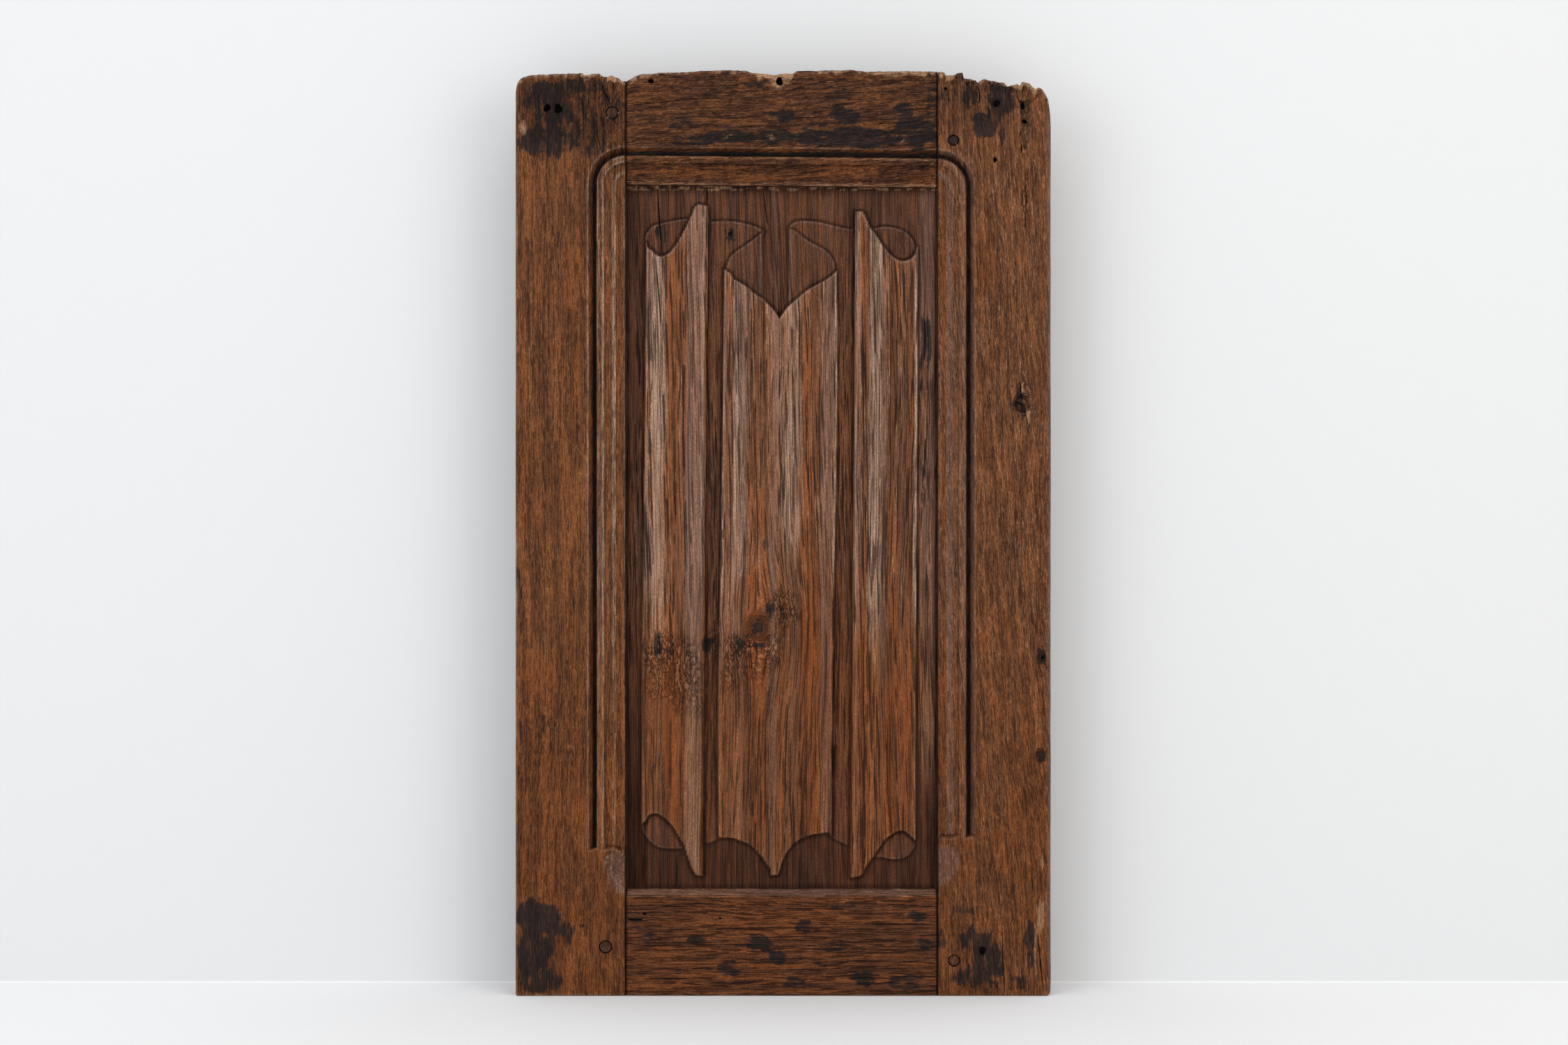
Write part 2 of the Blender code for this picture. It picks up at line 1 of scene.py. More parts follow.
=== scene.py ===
"""Looks of a framed linenfold panel in old oak.

The frame and the board are modelled again with their wear, cracks and nail holes, from front
sheets that carry the relief. The oak is procedural, and follows the grain of each piece.
"""
import math

import bmesh
import bpy
import numpy as np
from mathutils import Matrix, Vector


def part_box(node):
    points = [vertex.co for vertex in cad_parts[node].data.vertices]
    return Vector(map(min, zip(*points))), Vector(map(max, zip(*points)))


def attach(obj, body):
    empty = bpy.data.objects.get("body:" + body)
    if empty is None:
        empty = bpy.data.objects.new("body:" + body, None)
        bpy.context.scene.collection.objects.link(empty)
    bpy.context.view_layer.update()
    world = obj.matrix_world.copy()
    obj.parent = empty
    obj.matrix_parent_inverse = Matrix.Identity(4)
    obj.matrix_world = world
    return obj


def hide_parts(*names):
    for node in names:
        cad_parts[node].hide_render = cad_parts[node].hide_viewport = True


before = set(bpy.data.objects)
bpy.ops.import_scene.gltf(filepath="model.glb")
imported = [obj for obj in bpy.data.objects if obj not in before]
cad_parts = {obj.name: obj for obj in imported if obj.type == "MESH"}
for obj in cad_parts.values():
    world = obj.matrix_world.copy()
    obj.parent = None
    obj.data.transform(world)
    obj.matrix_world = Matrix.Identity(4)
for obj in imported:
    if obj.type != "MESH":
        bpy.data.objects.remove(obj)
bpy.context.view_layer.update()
bpy.ops.object.select_all(action="DESELECT")

MM = 0.001

# Places of the frame, read from its solids
left_low, left_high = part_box("stile_left")
right_low, right_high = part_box("stile_right")
rail_low, rail_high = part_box("rail_top")
sill_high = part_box("rail_bottom")[1]
LEFT, OPENING_LEFT = left_low.x, left_high.x
OPENING_RIGHT, RIGHT = right_low.x, right_high.x
FRONT, BACK = left_low.y, left_high.y
BOTTOM, OPENING_BOTTOM, TOP = left_low.z, sill_high.z, rail_high.z
TOP_RAIL_DROP = 0.003
OPENING_TOP = rail_low.z + TOP_RAIL_DROP / 2
OPENING_WIDTH = OPENING_RIGHT - OPENING_LEFT
OPENING_HEIGHT = OPENING_TOP - OPENING_BOTTOM

# Joinery, with the sizes that the solids have
FIT = 0.0003
GROOVE_FRONT = FRONT + 0.012
GROOVE_BACK = GROOVE_FRONT + 0.008
GROOVE_DEPTH = 0.010
GROUND = GROOVE_FRONT + FIT
TONGUE_BACK = GROOVE_BACK - FIT
JOINT_MIDDLE = (GROOVE_FRONT + GROOVE_BACK) / 2
TENON_THICKNESS = 0.010
TENON_LENGTH = 0.055
TENON_SHOULDER = 0.014
TENON_TOP_MARGIN = 0.024
TENON_BOTTOM_MARGIN = 0.018
MORTISE_PLAY = 0.002
BOARD_REACH = 0.008
BOARD_RIM = 0.014
BOARD_BEVEL = 0.024
BOARD_SWELL = 0.0038
SILL_SLOPE_HEIGHT = 0.0065
SILL_SLOPE_DEPTH = 0.0118
PEG_ROOM = 0.0004
PEG_ARRIS = 0.0007
PEG_HOLE_SIDES = 20
NAIL_HOLE_SIDES = 14

# How far a cutter stands out of the wood, and the material slots that cut faces get
PROUD = 0.005
CUT_FACES = 1
BARE_FACES = 2

# A finished face keeps this far behind the solid's face
SKIN = 0.00003

# Fields that are kept together in an attribute
BAND_FIELDS = ("cream_wear_and_sheen", "grey_sheen", "rusty", "calm")
TRAIT_FIELDS = ("gnarled", "film_and_sheen", "ruddy", "plain")

# The moulding: share of its width out from the opening, share of its depth there
MOULDING_WIDTH = 0.037
MOULDING_DEPTH = 0.0056
MOULDING = [
    (0.00, 0.82), (0.03, 0.70), (0.10, 0.67), (0.16, 0.80), (0.26, 0.93), (0.38, 0.92),
    (0.48, 0.80), (0.56, 0.58), (0.59, 0.30), (0.62, 0.18), (0.68, 0.14), (0.73, 0.20),
    (0.77, 0.40), (0.80, 0.92), (0.86, 1.00), (0.92, 0.68), (1.00, 0.00),
]
LEFT_STOP = OPENING_BOTTOM + 0.0395
RIGHT_STOP = OPENING_BOTTOM + 0.0512

# Bands across the mouldings: millimetres out from the opening, strength. Pale bands are worn
# wood with a painted highlight, cool bands a painted sheen, and rusty bands warm clean wood.
LEFT_WEAR_AND_SHEEN = [(0.4, 0.5), (1.4, 0.4), (2.2, 0.0), (9.4, 0.0), (10.4, 0.95), (12.8, 0.85),
              (14.0, 0.1), (20.8, 0.1), (21.5, 1.0), (22.9, 0.9), (23.8, 0.1), (27.4, 0.2),
              (28.1, 1.0), (29.0, 0.0), (36.9, 0.0), (37.6, 0.6), (38.6, 0.0)]
LEFT_RUSTY = [(1.6, 0.0), (3.0, 0.5), (7.0, 0.5), (9.0, 0.0), (14.0, 0.0), (16.0, 0.5),
              (20.0, 0.5), (21.0, 0.0)]
RAIL_WEAR_AND_SHEEN = [(0.0, 0.3), (0.8, 0.8), (2.6, 0.6), (4.0, 0.0), (25.4, 0.0), (26.8, 0.6),
              (28.4, 0.7), (29.0, 0.0), (36.0, 0.0), (37.2, 0.3), (38.4, 0.0)]
RIGHT_WEAR_AND_SHEEN = [(0.0, 0.4), (1.4, 0.2), (2.0, 0.0), (9.0, 0.0), (12.0, 0.35), (14.0, 0.1),
               (18.4, 0.0), (19.2, 0.6), (20.6, 0.6), (21.4, 0.1), (24.4, 0.1), (25.2, 0.8),
               (26.4, 0.2), (28.0, 0.0), (36.0, 0.0), (36.9, 0.7), (38.4, 0.0)]
RIGHT_GREY_SHEEN = [(8.0, 0.0), (9.6, 1.0), (15.0, 1.0), (16.0, 0.2), (25.6, 0.0), (26.4, 0.6),
              (28.2, 0.4), (29.0, 0.0), (32.4, 0.0), (33.4, 0.7), (36.4, 0.6), (37.0, 0.0)]
RIGHT_RUSTY = [(1.0, 0.6), (9.0, 0.5), (10.4, 0.0), (15.0, 0.0), (16.0, 0.9), (18.4, 0.9),
               (19.4, 0.0), (20.6, 0.0), (21.6, 0.8), (24.0, 0.8), (25.0, 0.0)]

# The same bands across the board: millimetres from the opening's left, strength
BOARD_WEAR_AND_SHEEN = [
    (19.8, 0.0), (20.8, 0.8), (22.0, 0.3), (24.0, 0.65), (31.0, 0.85), (38.0, 0.55), (41.0, 0.05),
    (73.0, 0.1), (76.4, 0.6), (77.6, 0.3), (79.0, 0.0), (95.4, 0.0), (96.6, 0.9), (98.4, 0.3),
    (100.0, 0.05), (104.5, 0.1), (107.0, 0.85), (114.0, 0.95), (118.5, 0.3), (122.0, 0.0),
    (150.0, 0.1), (152.2, 0.6), (154.0, 0.1), (157.5, 0.4), (160.5, 0.9), (170.0, 0.9),
    (174.0, 0.3), (178.0, 0.05), (205.0, 0.1), (207.6, 0.9), (209.4, 0.8), (210.8, 0.0),
    (226.6, 0.0), (227.8, 0.7), (229.4, 0.3), (233.0, 0.0), (240.0, 0.1), (243.5, 0.95),
    (252.0, 1.0), (255.0, 0.3), (258.0, 0.0), (285.6, 0.0), (287.2, 0.9), (289.0, 0.8), (290.4, 0.0),
]
BOARD_GREY_SHEEN = [
    (3.0, 0.4), (19.0, 0.3), (20.0, 0.0), (57.5, 0.0), (61.5, 0.7), (68.0, 1.0), (75.4, 0.9),
    (77.0, 0.0), (82.0, 0.15), (94.0, 0.15), (95.0, 0.0), (117.0, 0.4), (121.0, 0.1),
    (140.5, 0.0), (144.0, 0.8), (150.0, 0.8), (151.8, 0.0), (172.0, 0.2), (176.0, 0.0),
    (192.0, 0.0), (196.0, 0.7), (204.0, 0.6), (206.0, 0.0), (212.0, 0.2), (225.0, 0.1),
    (228.4, 0.0), (229.6, 0.7), (232.0, 0.3), (234.0, 0.0), (254.0, 0.0), (256.5, 0.5), (261.0, 0.0),
    (283.0, 0.1), (289.6, 0.0), (292.0, 0.9), (306.0, 0.8),
]
BOARD_RUSTY = [
    (36.0, 0.0), (41.0, 0.9), (50.0, 0.6), (58.0, 0.3), (61.0, 0.0), (77.2, 0.0), (78.4, 0.9),
    (80.6, 0.7), (82.0, 0.0), (97.6, 0.0), (99.6, 0.9), (104.0, 0.8), (107.0, 0.1),
    (117.0, 0.2), (122.0, 0.8), (134.0, 0.8), (141.0, 0.3), (144.0, 0.0), (154.0, 0.4),
    (158.0, 0.1), (174.0, 0.2), (179.0, 0.8), (192.0, 0.7), (196.0, 0.1), (230.0, 0.0),
    (233.0, 0.6), (239.0, 0.5), (242.0, 0.0), (256.0, 0.2),
    (262.0, 0.9), (270.0, 0.6), (283.0, 0.8), (286.6, 0.2), (288.0, 0.0),
]

# Carving: heights above the sunk ground
CLOTH_HEIGHT = 0.0016
SECOND_FOLD_HEIGHT = 0.0029
FOLD_LEAN = 0.0042
SPIKE_HEIGHT = 0.0058
SPIKE_FALL = 0.045
HIGHEST = 0.0089


def only(piece):
    """Selects one object and makes it active."""
    bpy.ops.object.select_all(action="DESELECT")
    piece.select_set(True)
    bpy.context.view_layer.objects.active = piece


def soft_step(value, low, high):
    """0 below low, 1 above high, and an even passage between them."""
    share = np.clip((value - low) / (high - low), 0.0, 1.0)
    return share * share * (3 - 2 * share)


def soft_noise(x, z, step_x, step_z, seed):
    """Smooth irregular values from -1 to 1, one swell every step in each direction."""
    lattice = np.random.default_rng(seed).uniform(-1.0, 1.0, (256, 256))
    u, v = x / step_x + 1000.0, z / step_z + 1000.0
    column, row = np.floor(u).astype(int), np.floor(v).astype(int)
    a, b = u - column, v - row
    a, b = a * a * (3 - 2 * a), b * b * (3 - 2 * b)
    low = lattice[row % 256, column % 256] * (1 - a) + lattice[row % 256, (column + 1) % 256] * a
    row = row + 1
    high = lattice[row % 256, column % 256] * (1 - a) + lattice[row % 256, (column + 1) % 256] * a
    return low * (1 - b) + high * b


def rough_noise(x, z, step_x, step_z, seed, octaves=3):
    """Smooth swells with finer ones on top."""
    total = 0.0
    for octave in range(octaves):
        size = 2 ** octave
        total = total + soft_noise(x, z, step_x / size, step_z / size, seed + octave) / size
    return total / 1.6


def spaced(start, stop, count, dense):
    """Positions from start to stop that crowd where dense, a list of (place, reach, weight)."""
    fine = np.linspace(start, stop, 4000)
    density = np.ones_like(fine)
    for place, reach, weight in dense:
        density += weight * soft_step(-np.abs(fine - place), -reach * 1.3, -reach * 0.8)
    total = np.concatenate([[0.0], np.cumsum((density[1:] + density[:-1]) / 2)])
    return np.interp(np.linspace(0.0, total[-1], count), total, fine)


def smooth(points, steps=4):
    """Points on a soft curve through the given ones."""
    ends = [points[0], *points, points[-1]]
    curve = []
    for index in range(1, len(ends) - 2):
        before, start, stop, after = (Vector(ends[index + k]) for k in (-1, 0, 1, 2))
        for step in range(steps):
            t = step / steps
            point = (
                start * 2
                + (stop - before) * t
                + (before * 2 - start * 5 + stop * 4 - after) * t * t
                + (start * 3 - before - stop * 3 + after) * t * t * t
            ) / 2
            curve.append((point.x, point.y))
    curve.append(tuple(points[-1]))
    return curve


def inside(x, z, outline):
    """Distance in from a closed outline, negative outside it."""
    nearest = np.full(x.shape, 1.0)
    within = np.zeros(x.shape, bool)
    for (ax, az), (bx, bz) in zip(outline, outline[1:] + outline[:1]):
        run, rise = bx - ax, bz - az
        length = run * run + rise * rise
        if length < 1e-14:
            continue
        share = np.clip(((x - ax) * run + (z - az) * rise) / length, 0.0, 1.0)
        nearest = np.minimum(nearest, np.hypot(x - ax - share * run, z - az - share * rise))
        if abs(rise) > 1e-12:
            crossing = ((az > z) != (bz > z)) & (x < run * (z - az) / rise + ax)
            within ^= crossing
    return np.where(within, nearest, -nearest)


def spot(across, up):
    """A place on the front, in millimetres from the panel's lower left corner."""
    return LEFT + across * MM, BOTTOM + up * MM


def spots(*places):
    """Several places on the front, in millimetres from the panel's lower left corner."""
    return [spot(across, up) for across, up in places]


def rail_edge(x):
    """Height of the top rail's lower edge, which falls a little from left to right."""
    return OPENING_TOP + TOP_RAIL_DROP * (0.5 - (x - OPENING_LEFT) / OPENING_WIDTH)


def worn_arris(distance, radius):
    """How far a rounded edge falls back at a distance in from it."""
    share = np.clip(1 - distance / radius, 0.0, 1.0)
    return radius * (1 - np.sqrt(np.maximum(1 - share * share, 0.0)))


def moulding_depth(out):
    """Depth of the moulding at a distance out from the opening."""
    across, depth = zip(*smooth(MOULDING, 3))
    return np.interp(out / MOULDING_WIDTH, across, depth) * MOULDING_DEPTH


# The worn upper edge: millimetres across each piece, millimetres lost
LEFT_STILE_TOP = [
    (0.0, 20.5), (1.0, 14.0), (2.6, 10.8), (5.5, 8.6), (9.0, 6.9), (13.1, 5.9), (18.6, 4.9),
    (28.4, 4.5), (44.0, 4.0), (57.0, 3.8), (66.4, 3.5), (69.0, 5.5), (76.8, 4.1), (83.0, 4.1),
    (87.0, 7.4), (91.0, 6.6), (95.5, 5.6), (98.5, 7.2), (102.4, 8.6), (105.9, 11.7), (109.0, 11.2),
]
TOP_RAIL_TOP = [
    (0.0, 11.5), (3.5, 10.0), (7.0, 7.4), (10.4, 5.9), (15.9, 4.1), (25.0, 3.8), (34.6, 2.8),
    (44.0, 2.5), (55.0, 2.6), (76.0, 1.2), (93.4, 0.6), (119.7, 0.6), (124.0, 2.9), (135.6, 3.7),
    (146.0, 4.9), (157.1, 4.0), (167.0, 3.2), (170.0, 1.4), (181.3, 1.2), (196.0, 0.7),
    (224.2, 0.2), (239.4, 1.6), (256.0, 1.7), (277.5, 1.2), (300.0, 1.4), (310.0, 1.7),
]
RIGHT_STILE_TOP = [
    (0.0, 2.4), (2.5, 2.1), (5.9, 2.2), (8.5, 5.2), (14.5, 5.5), (17.5, 4.6), (20.0, 3.0),
    (25.0, 2.8), (26.4, 8.4), (33.0, 9.2), (38.0, 10.7), (40.1, 12.8), (44.3, 9.9), (47.0, 9.4),
    (54.7, 11.2), (60.0, 12.4), (66.8, 12.8), (69.4, 16.6), (73.5, 15.4), (80.0, 13.6),
    (82.6, 17.0), (83.8, 11.8), (87.0, 12.6), (91.3, 13.8), (95.2, 17.8), (97.4, 19.4),
    (100.6, 16.9), (104.0, 19.5), (107.0, 23.5), (110.0, 29.5), (111.4, 37.0), (112.1, 44.0),
    (112.5, 55.0),
]


def worn_top(x, start, losses, seed):
    """Height of a piece's worn upper edge."""
    places, lost = zip(*losses)
    across = (x - start) / MM
    ragged = np.abs(rough_noise(across, across * 0, 2.6, 1.0, seed)) * 0.9
    return TOP - (np.interp(across, places, lost) + ragged) * MM


class Relief:
    """A front sheet: rows of points over a piece's face, and the depth of the face at each."""

    def __init__(self, columns, rows, low, high):
        across, up = np.meshgrid(columns, rows)
        self.x = across
        self.low, self.high = low(across), high(across)
        self.z = self.low + up * (self.high - self.low)
        self.columns, self.rows = columns, rows
        self.y = None

    def look_up(self, field, x, z):
        """Reads a field of the sheet at any place on the piece."""
        low = np.interp(x, self.columns, self.low[0])
        high = np.interp(x, self.columns, self.high[0])
        up = np.clip((z - low) / (high - low), 0.0, 1.0)
        column = np.clip(np.searchsorted(self.columns, x) - 1, 0, len(self.columns) - 2)
        row = np.clip(np.searchsorted(self.rows, up) - 1, 0, len(self.rows) - 2)
        a = np.clip(
            (x - self.columns[column]) / (self.columns[column + 1] - self.columns[column]), 0, 1
        )
        b = np.clip((up - self.rows[row]) / (self.rows[row + 1] - self.rows[row]), 0, 1)
        near = field[row, column] * (1 - a) + field[row, column + 1] * a
        far = field[row + 1, column] * (1 - a) + field[row + 1, column + 1] * a
        return near * (1 - b) + far * b


def blurred(field, x, z, reach):
    """A field evened out over a distance, on a sheet with uneven spacing."""
    result = field
    for axis, place in ((1, x), (0, z)):
        spacing = np.gradient(place, axis=axis)
        steps = 5
        total, weight = result.copy(), np.ones_like(result)
        for step in range(1, steps + 1):
            for side in (-1, 1):
                offset = side * reach * step / steps / np.maximum(spacing, 1e-6)
                index = np.arange(result.shape[axis])
                index = index[None, :] if axis == 1 else index[:, None]
                target = np.clip(index + offset, 0, result.shape[axis] - 1)
                base = np.floor(target).astype(int)
                base = np.minimum(base, result.shape[axis] - 2)
                part = target - base
                if axis == 1:
                    rows = np.arange(result.shape[0])[:, None]
                    value = result[rows, base] * (1 - part) + result[rows, base + 1] * part
                else:
                    cols = np.arange(result.shape[1])[None, :]
                    value = result[base, cols] * (1 - part) + result[base + 1, cols] * part
                share = 1 - step / (steps + 1)
                total += value * share
                weight += share
        result = total / weight
    return result


def sheet_solid(name, relief, back_rows, materials):
    """A closed solid: the relief in front, its edge pulled back in rows, and a flat back.

    A row is how far back it lies and how far in from the outline."""
    height, width = relief.x.shape
    bpy.ops.mesh.primitive_grid_add(x_subdivisions=width - 1, y_subdivisions=height - 1, size=1)
    piece = bpy.context.object
    piece.name = name
    piece.data.name = name
    places = np.stack([relief.x, relief.y, relief.z], axis=-1)
    piece.data.vertices.foreach_set("co", places.ravel())
    piece.data.update()
    bpy.ops.object.mode_set(mode="EDIT")
    bpy.ops.mesh.select_mode(type="EDGE")
    bpy.ops.mesh.select_all(action="DESELECT")
    bpy.ops.mesh.select_non_manifold()
    middle = ((relief.x.min() + relief.x.max()) / 2, (relief.z.min() + relief.z.max()) / 2)
    span = (relief.x.max() - relief.x.min(), relief.z.max() - relief.z.min())
    already = 0.0
    for y, inset in back_rows:
        bpy.ops.mesh.extrude_edges_move()
        across, up = [(size - 2 * inset) / (size - 2 * already) for size in span]
        bpy.ops.transform.resize(value=(across, 0, up), center_override=(middle[0], y, middle[1]))
        already = inset
    bpy.ops.mesh.edge_face_add()
    bpy.ops.mesh.select_all(action="SELECT")
    bpy.ops.mesh.normals_make_consistent(inside=False)
    bpy.ops.object.mode_set(mode="OBJECT")
    for material in materials:
        piece.data.materials.append(material)
    return piece


def straight_back(first):
    """Rows that run straight back from the front's edge."""
    return [(y, 0.0) for y in (first, -0.018, -0.012, -0.006, BACK)]


def block(low, high):
    """A plain box between two corners, to cut or to join."""
    size, centre = Vector(high) - Vector(low), (Vector(high) + Vector(low)) / 2
    bpy.ops.mesh.primitive_cube_add(size=1, location=centre, scale=size)
    made = bpy.context.object
    bpy.ops.object.transform_apply(location=True, rotation=True, scale=True)
    return made


def dowel(x, z, radius, front, back, sides):
    """A round bar through the panel, to cut a hole with."""
    bpy.ops.mesh.primitive_cylinder_add(
        vertices=sides, radius=radius, depth=back - front, location=(x, (front + back) / 2, z),
        rotation=(math.pi / 2, 0, 0),
    )
    made = bpy.context.object
    bpy.ops.object.transform_apply(location=True, rotation=True, scale=True)
    return made


def wedge(points, width, depth, face):
    """A thin wedge along a line, to cut a crack with: widest in the middle of its way."""
    bm = bmesh.new()
    rows = []
    last = len(points) - 1
    for index, (x, z) in enumerate(points):
        before, after = points[max(index - 1, 0)], points[min(index + 1, last)]
        way = Vector((after[0] - before[0], after[1] - before[1])).normalized()
        full = math.sin(math.pi * (0.12 + 0.76 * index / last)) ** 0.7
        half = width * full / 2
        row = []
        for side, y, share in ((1, -0.004, 1.0), (1, depth * full, 0.25), (-1, depth * full, 0.25),
                               (-1, -0.004, 1.0)):
            reach = side * half * share
            row.append(bm.verts.new((x - way.y * reach, face(x, z) + y, z + way.x * reach)))
        rows.append(row)
    for near, far in zip(rows, rows[1:]):
        for index in range(4):
            following = (index + 1) % 4
            bm.faces.new((near[index], near[following], far[following], far[index]))
    bm.faces.new(rows[0])
    bm.faces.new(list(reversed(rows[-1])))
    bmesh.ops.recalc_face_normals(bm, faces=bm.faces)
    mesh = bpy.data.meshes.new("wedge")
    bm.to_mesh(mesh)
    bm.free()
    made = bpy.data.objects.new("wedge", mesh)
    bpy.context.scene.collection.objects.link(made)
    return made


def work(piece, tools, operation, index):
    """Cuts or joins with the tools together, whose faces get the given material slot."""
    only(tools[0])
    for tool in tools:
        tool.select_set(True)
    bpy.ops.object.join()
    tool = tools[0]
    for material in piece.data.materials:
        tool.data.materials.append(material)
    for face in tool.data.polygons:
        face.material_index = index
    only(piece)
    step = piece.modifiers.new("Work", "BOOLEAN")
    step.operation = operation
    step.solver = "MANIFOLD"
    step.object = tool
    bpy.ops.object.modifier_apply(modifier=step.name)
    bpy.data.objects.remove(tool)


def shade(piece):
    """Smooth relief, with sharp edges at every cut and at the back."""
    bm = bmesh.new()
    bm.from_mesh(piece.data)
    for face in bm.faces:
        face.smooth = True
    for edge in bm.edges:
        if len(edge.link_faces) != 2:
            continue
        one, two = edge.link_faces
        if one.material_index == 0 and two.material_index == 0 and edge.verts[0].co.y < FRONT / 2:
            continue
        edge.smooth = edge.calc_face_angle(0.0) < 0.6
    bm.to_mesh(piece.data)
    bm.free()


# Shader maths

class Wire:
    """A value in a material, which can be used in sums as a number is."""

    def __init__(self, oak, socket):
        self.oak = oak
        self.socket = socket

    def sum(self, operation, *others):
        """A Math node on this value and the others."""
        return self.oak.add("ShaderNodeMath", {"operation": operation}, self, *others)

    def __add__(self, other):
        return self.sum("ADD", other)

    def __radd__(self, other):
        return self.sum("ADD", other)

    def __sub__(self, other):
        return self.sum("SUBTRACT", other)

    def __rsub__(self, other):
        return self.oak.add("ShaderNodeMath", {"operation": "SUBTRACT"}, other, self)

    def __mul__(self, other):
        return self.sum("MULTIPLY", other)

    def __rmul__(self, other):
        return self.sum("MULTIPLY", other)

    def clamped(self):
        """The value kept from 0 to 1."""
        return self.oak.add("ShaderNodeClamp", {}, self)

    def between(self, low, high, start=0.0, stop=1.0):
        """A soft step from start to stop as the value goes from low to high."""
        settings = {"interpolation_type": "SMOOTHSTEP"}
        return self.oak.add("ShaderNodeMapRange", settings, self, low, high, start, stop)


class Finish:
    """A material under construction."""

    def __init__(self, name):
        self.material = bpy.data.materials.new(name)
        self.material.use_nodes = True
        self.tree = self.material.node_tree
        self.shader = self.tree.nodes["Principled BSDF"]

    def add(self, kind, settings, *values, output=0, **named):
        """A node with its settings, then its inputs in order or by name."""
        node = self.tree.nodes.new(kind)
        for key, value in settings.items():
            setattr(node, key, value)
        for index, value in enumerate(values):
            self.feed(node.inputs[index], value)
        for key, value in named.items():
            self.feed(node.inputs[key.replace("_", " ")], value)
        return Wire(self, node.outputs[output])

    def feed(self, socket, value):
        """Links a value to a socket, or sets it there."""
        if isinstance(value, Wire):
            self.tree.links.new(value.socket, socket)
        else:
            socket.default_value = value

    def channels(self, colour):
        """The red, green and blue of a colour as three values."""
        split = self.add("ShaderNodeSeparateColor", {}, colour)
        return [Wire(self, output) for output in split.socket.node.outputs]

    def mix(self, share, one, two, blend="MIX"):
        """A colour between two others."""
        node = self.tree.nodes.new("ShaderNodeMix")
        node.data_type = "RGBA"
        node.blend_type = blend
        self.feed(node.inputs["Factor"], share)
        for socket, value in ((node.inputs[6], one), (node.inputs[7], two)):
            self.feed(socket, value if isinstance(value, Wire) else (*value, 1.0))
        return Wire(self, node.outputs[2])

    def noise(self, place, scale, detail=2.0, rough=0.5, seed=0.0):
        """Irregular values on a stretched place."""
        stretched = self.add("ShaderNodeMapping", {}, place, (seed, seed * 0.7, seed * 1.3),
                             (0.0, 0.0, 0.0), scale)
        return self.add("ShaderNodeTexNoise", {}, Vector=stretched, Scale=1.0, Detail=detail,
                        Roughness=rough)


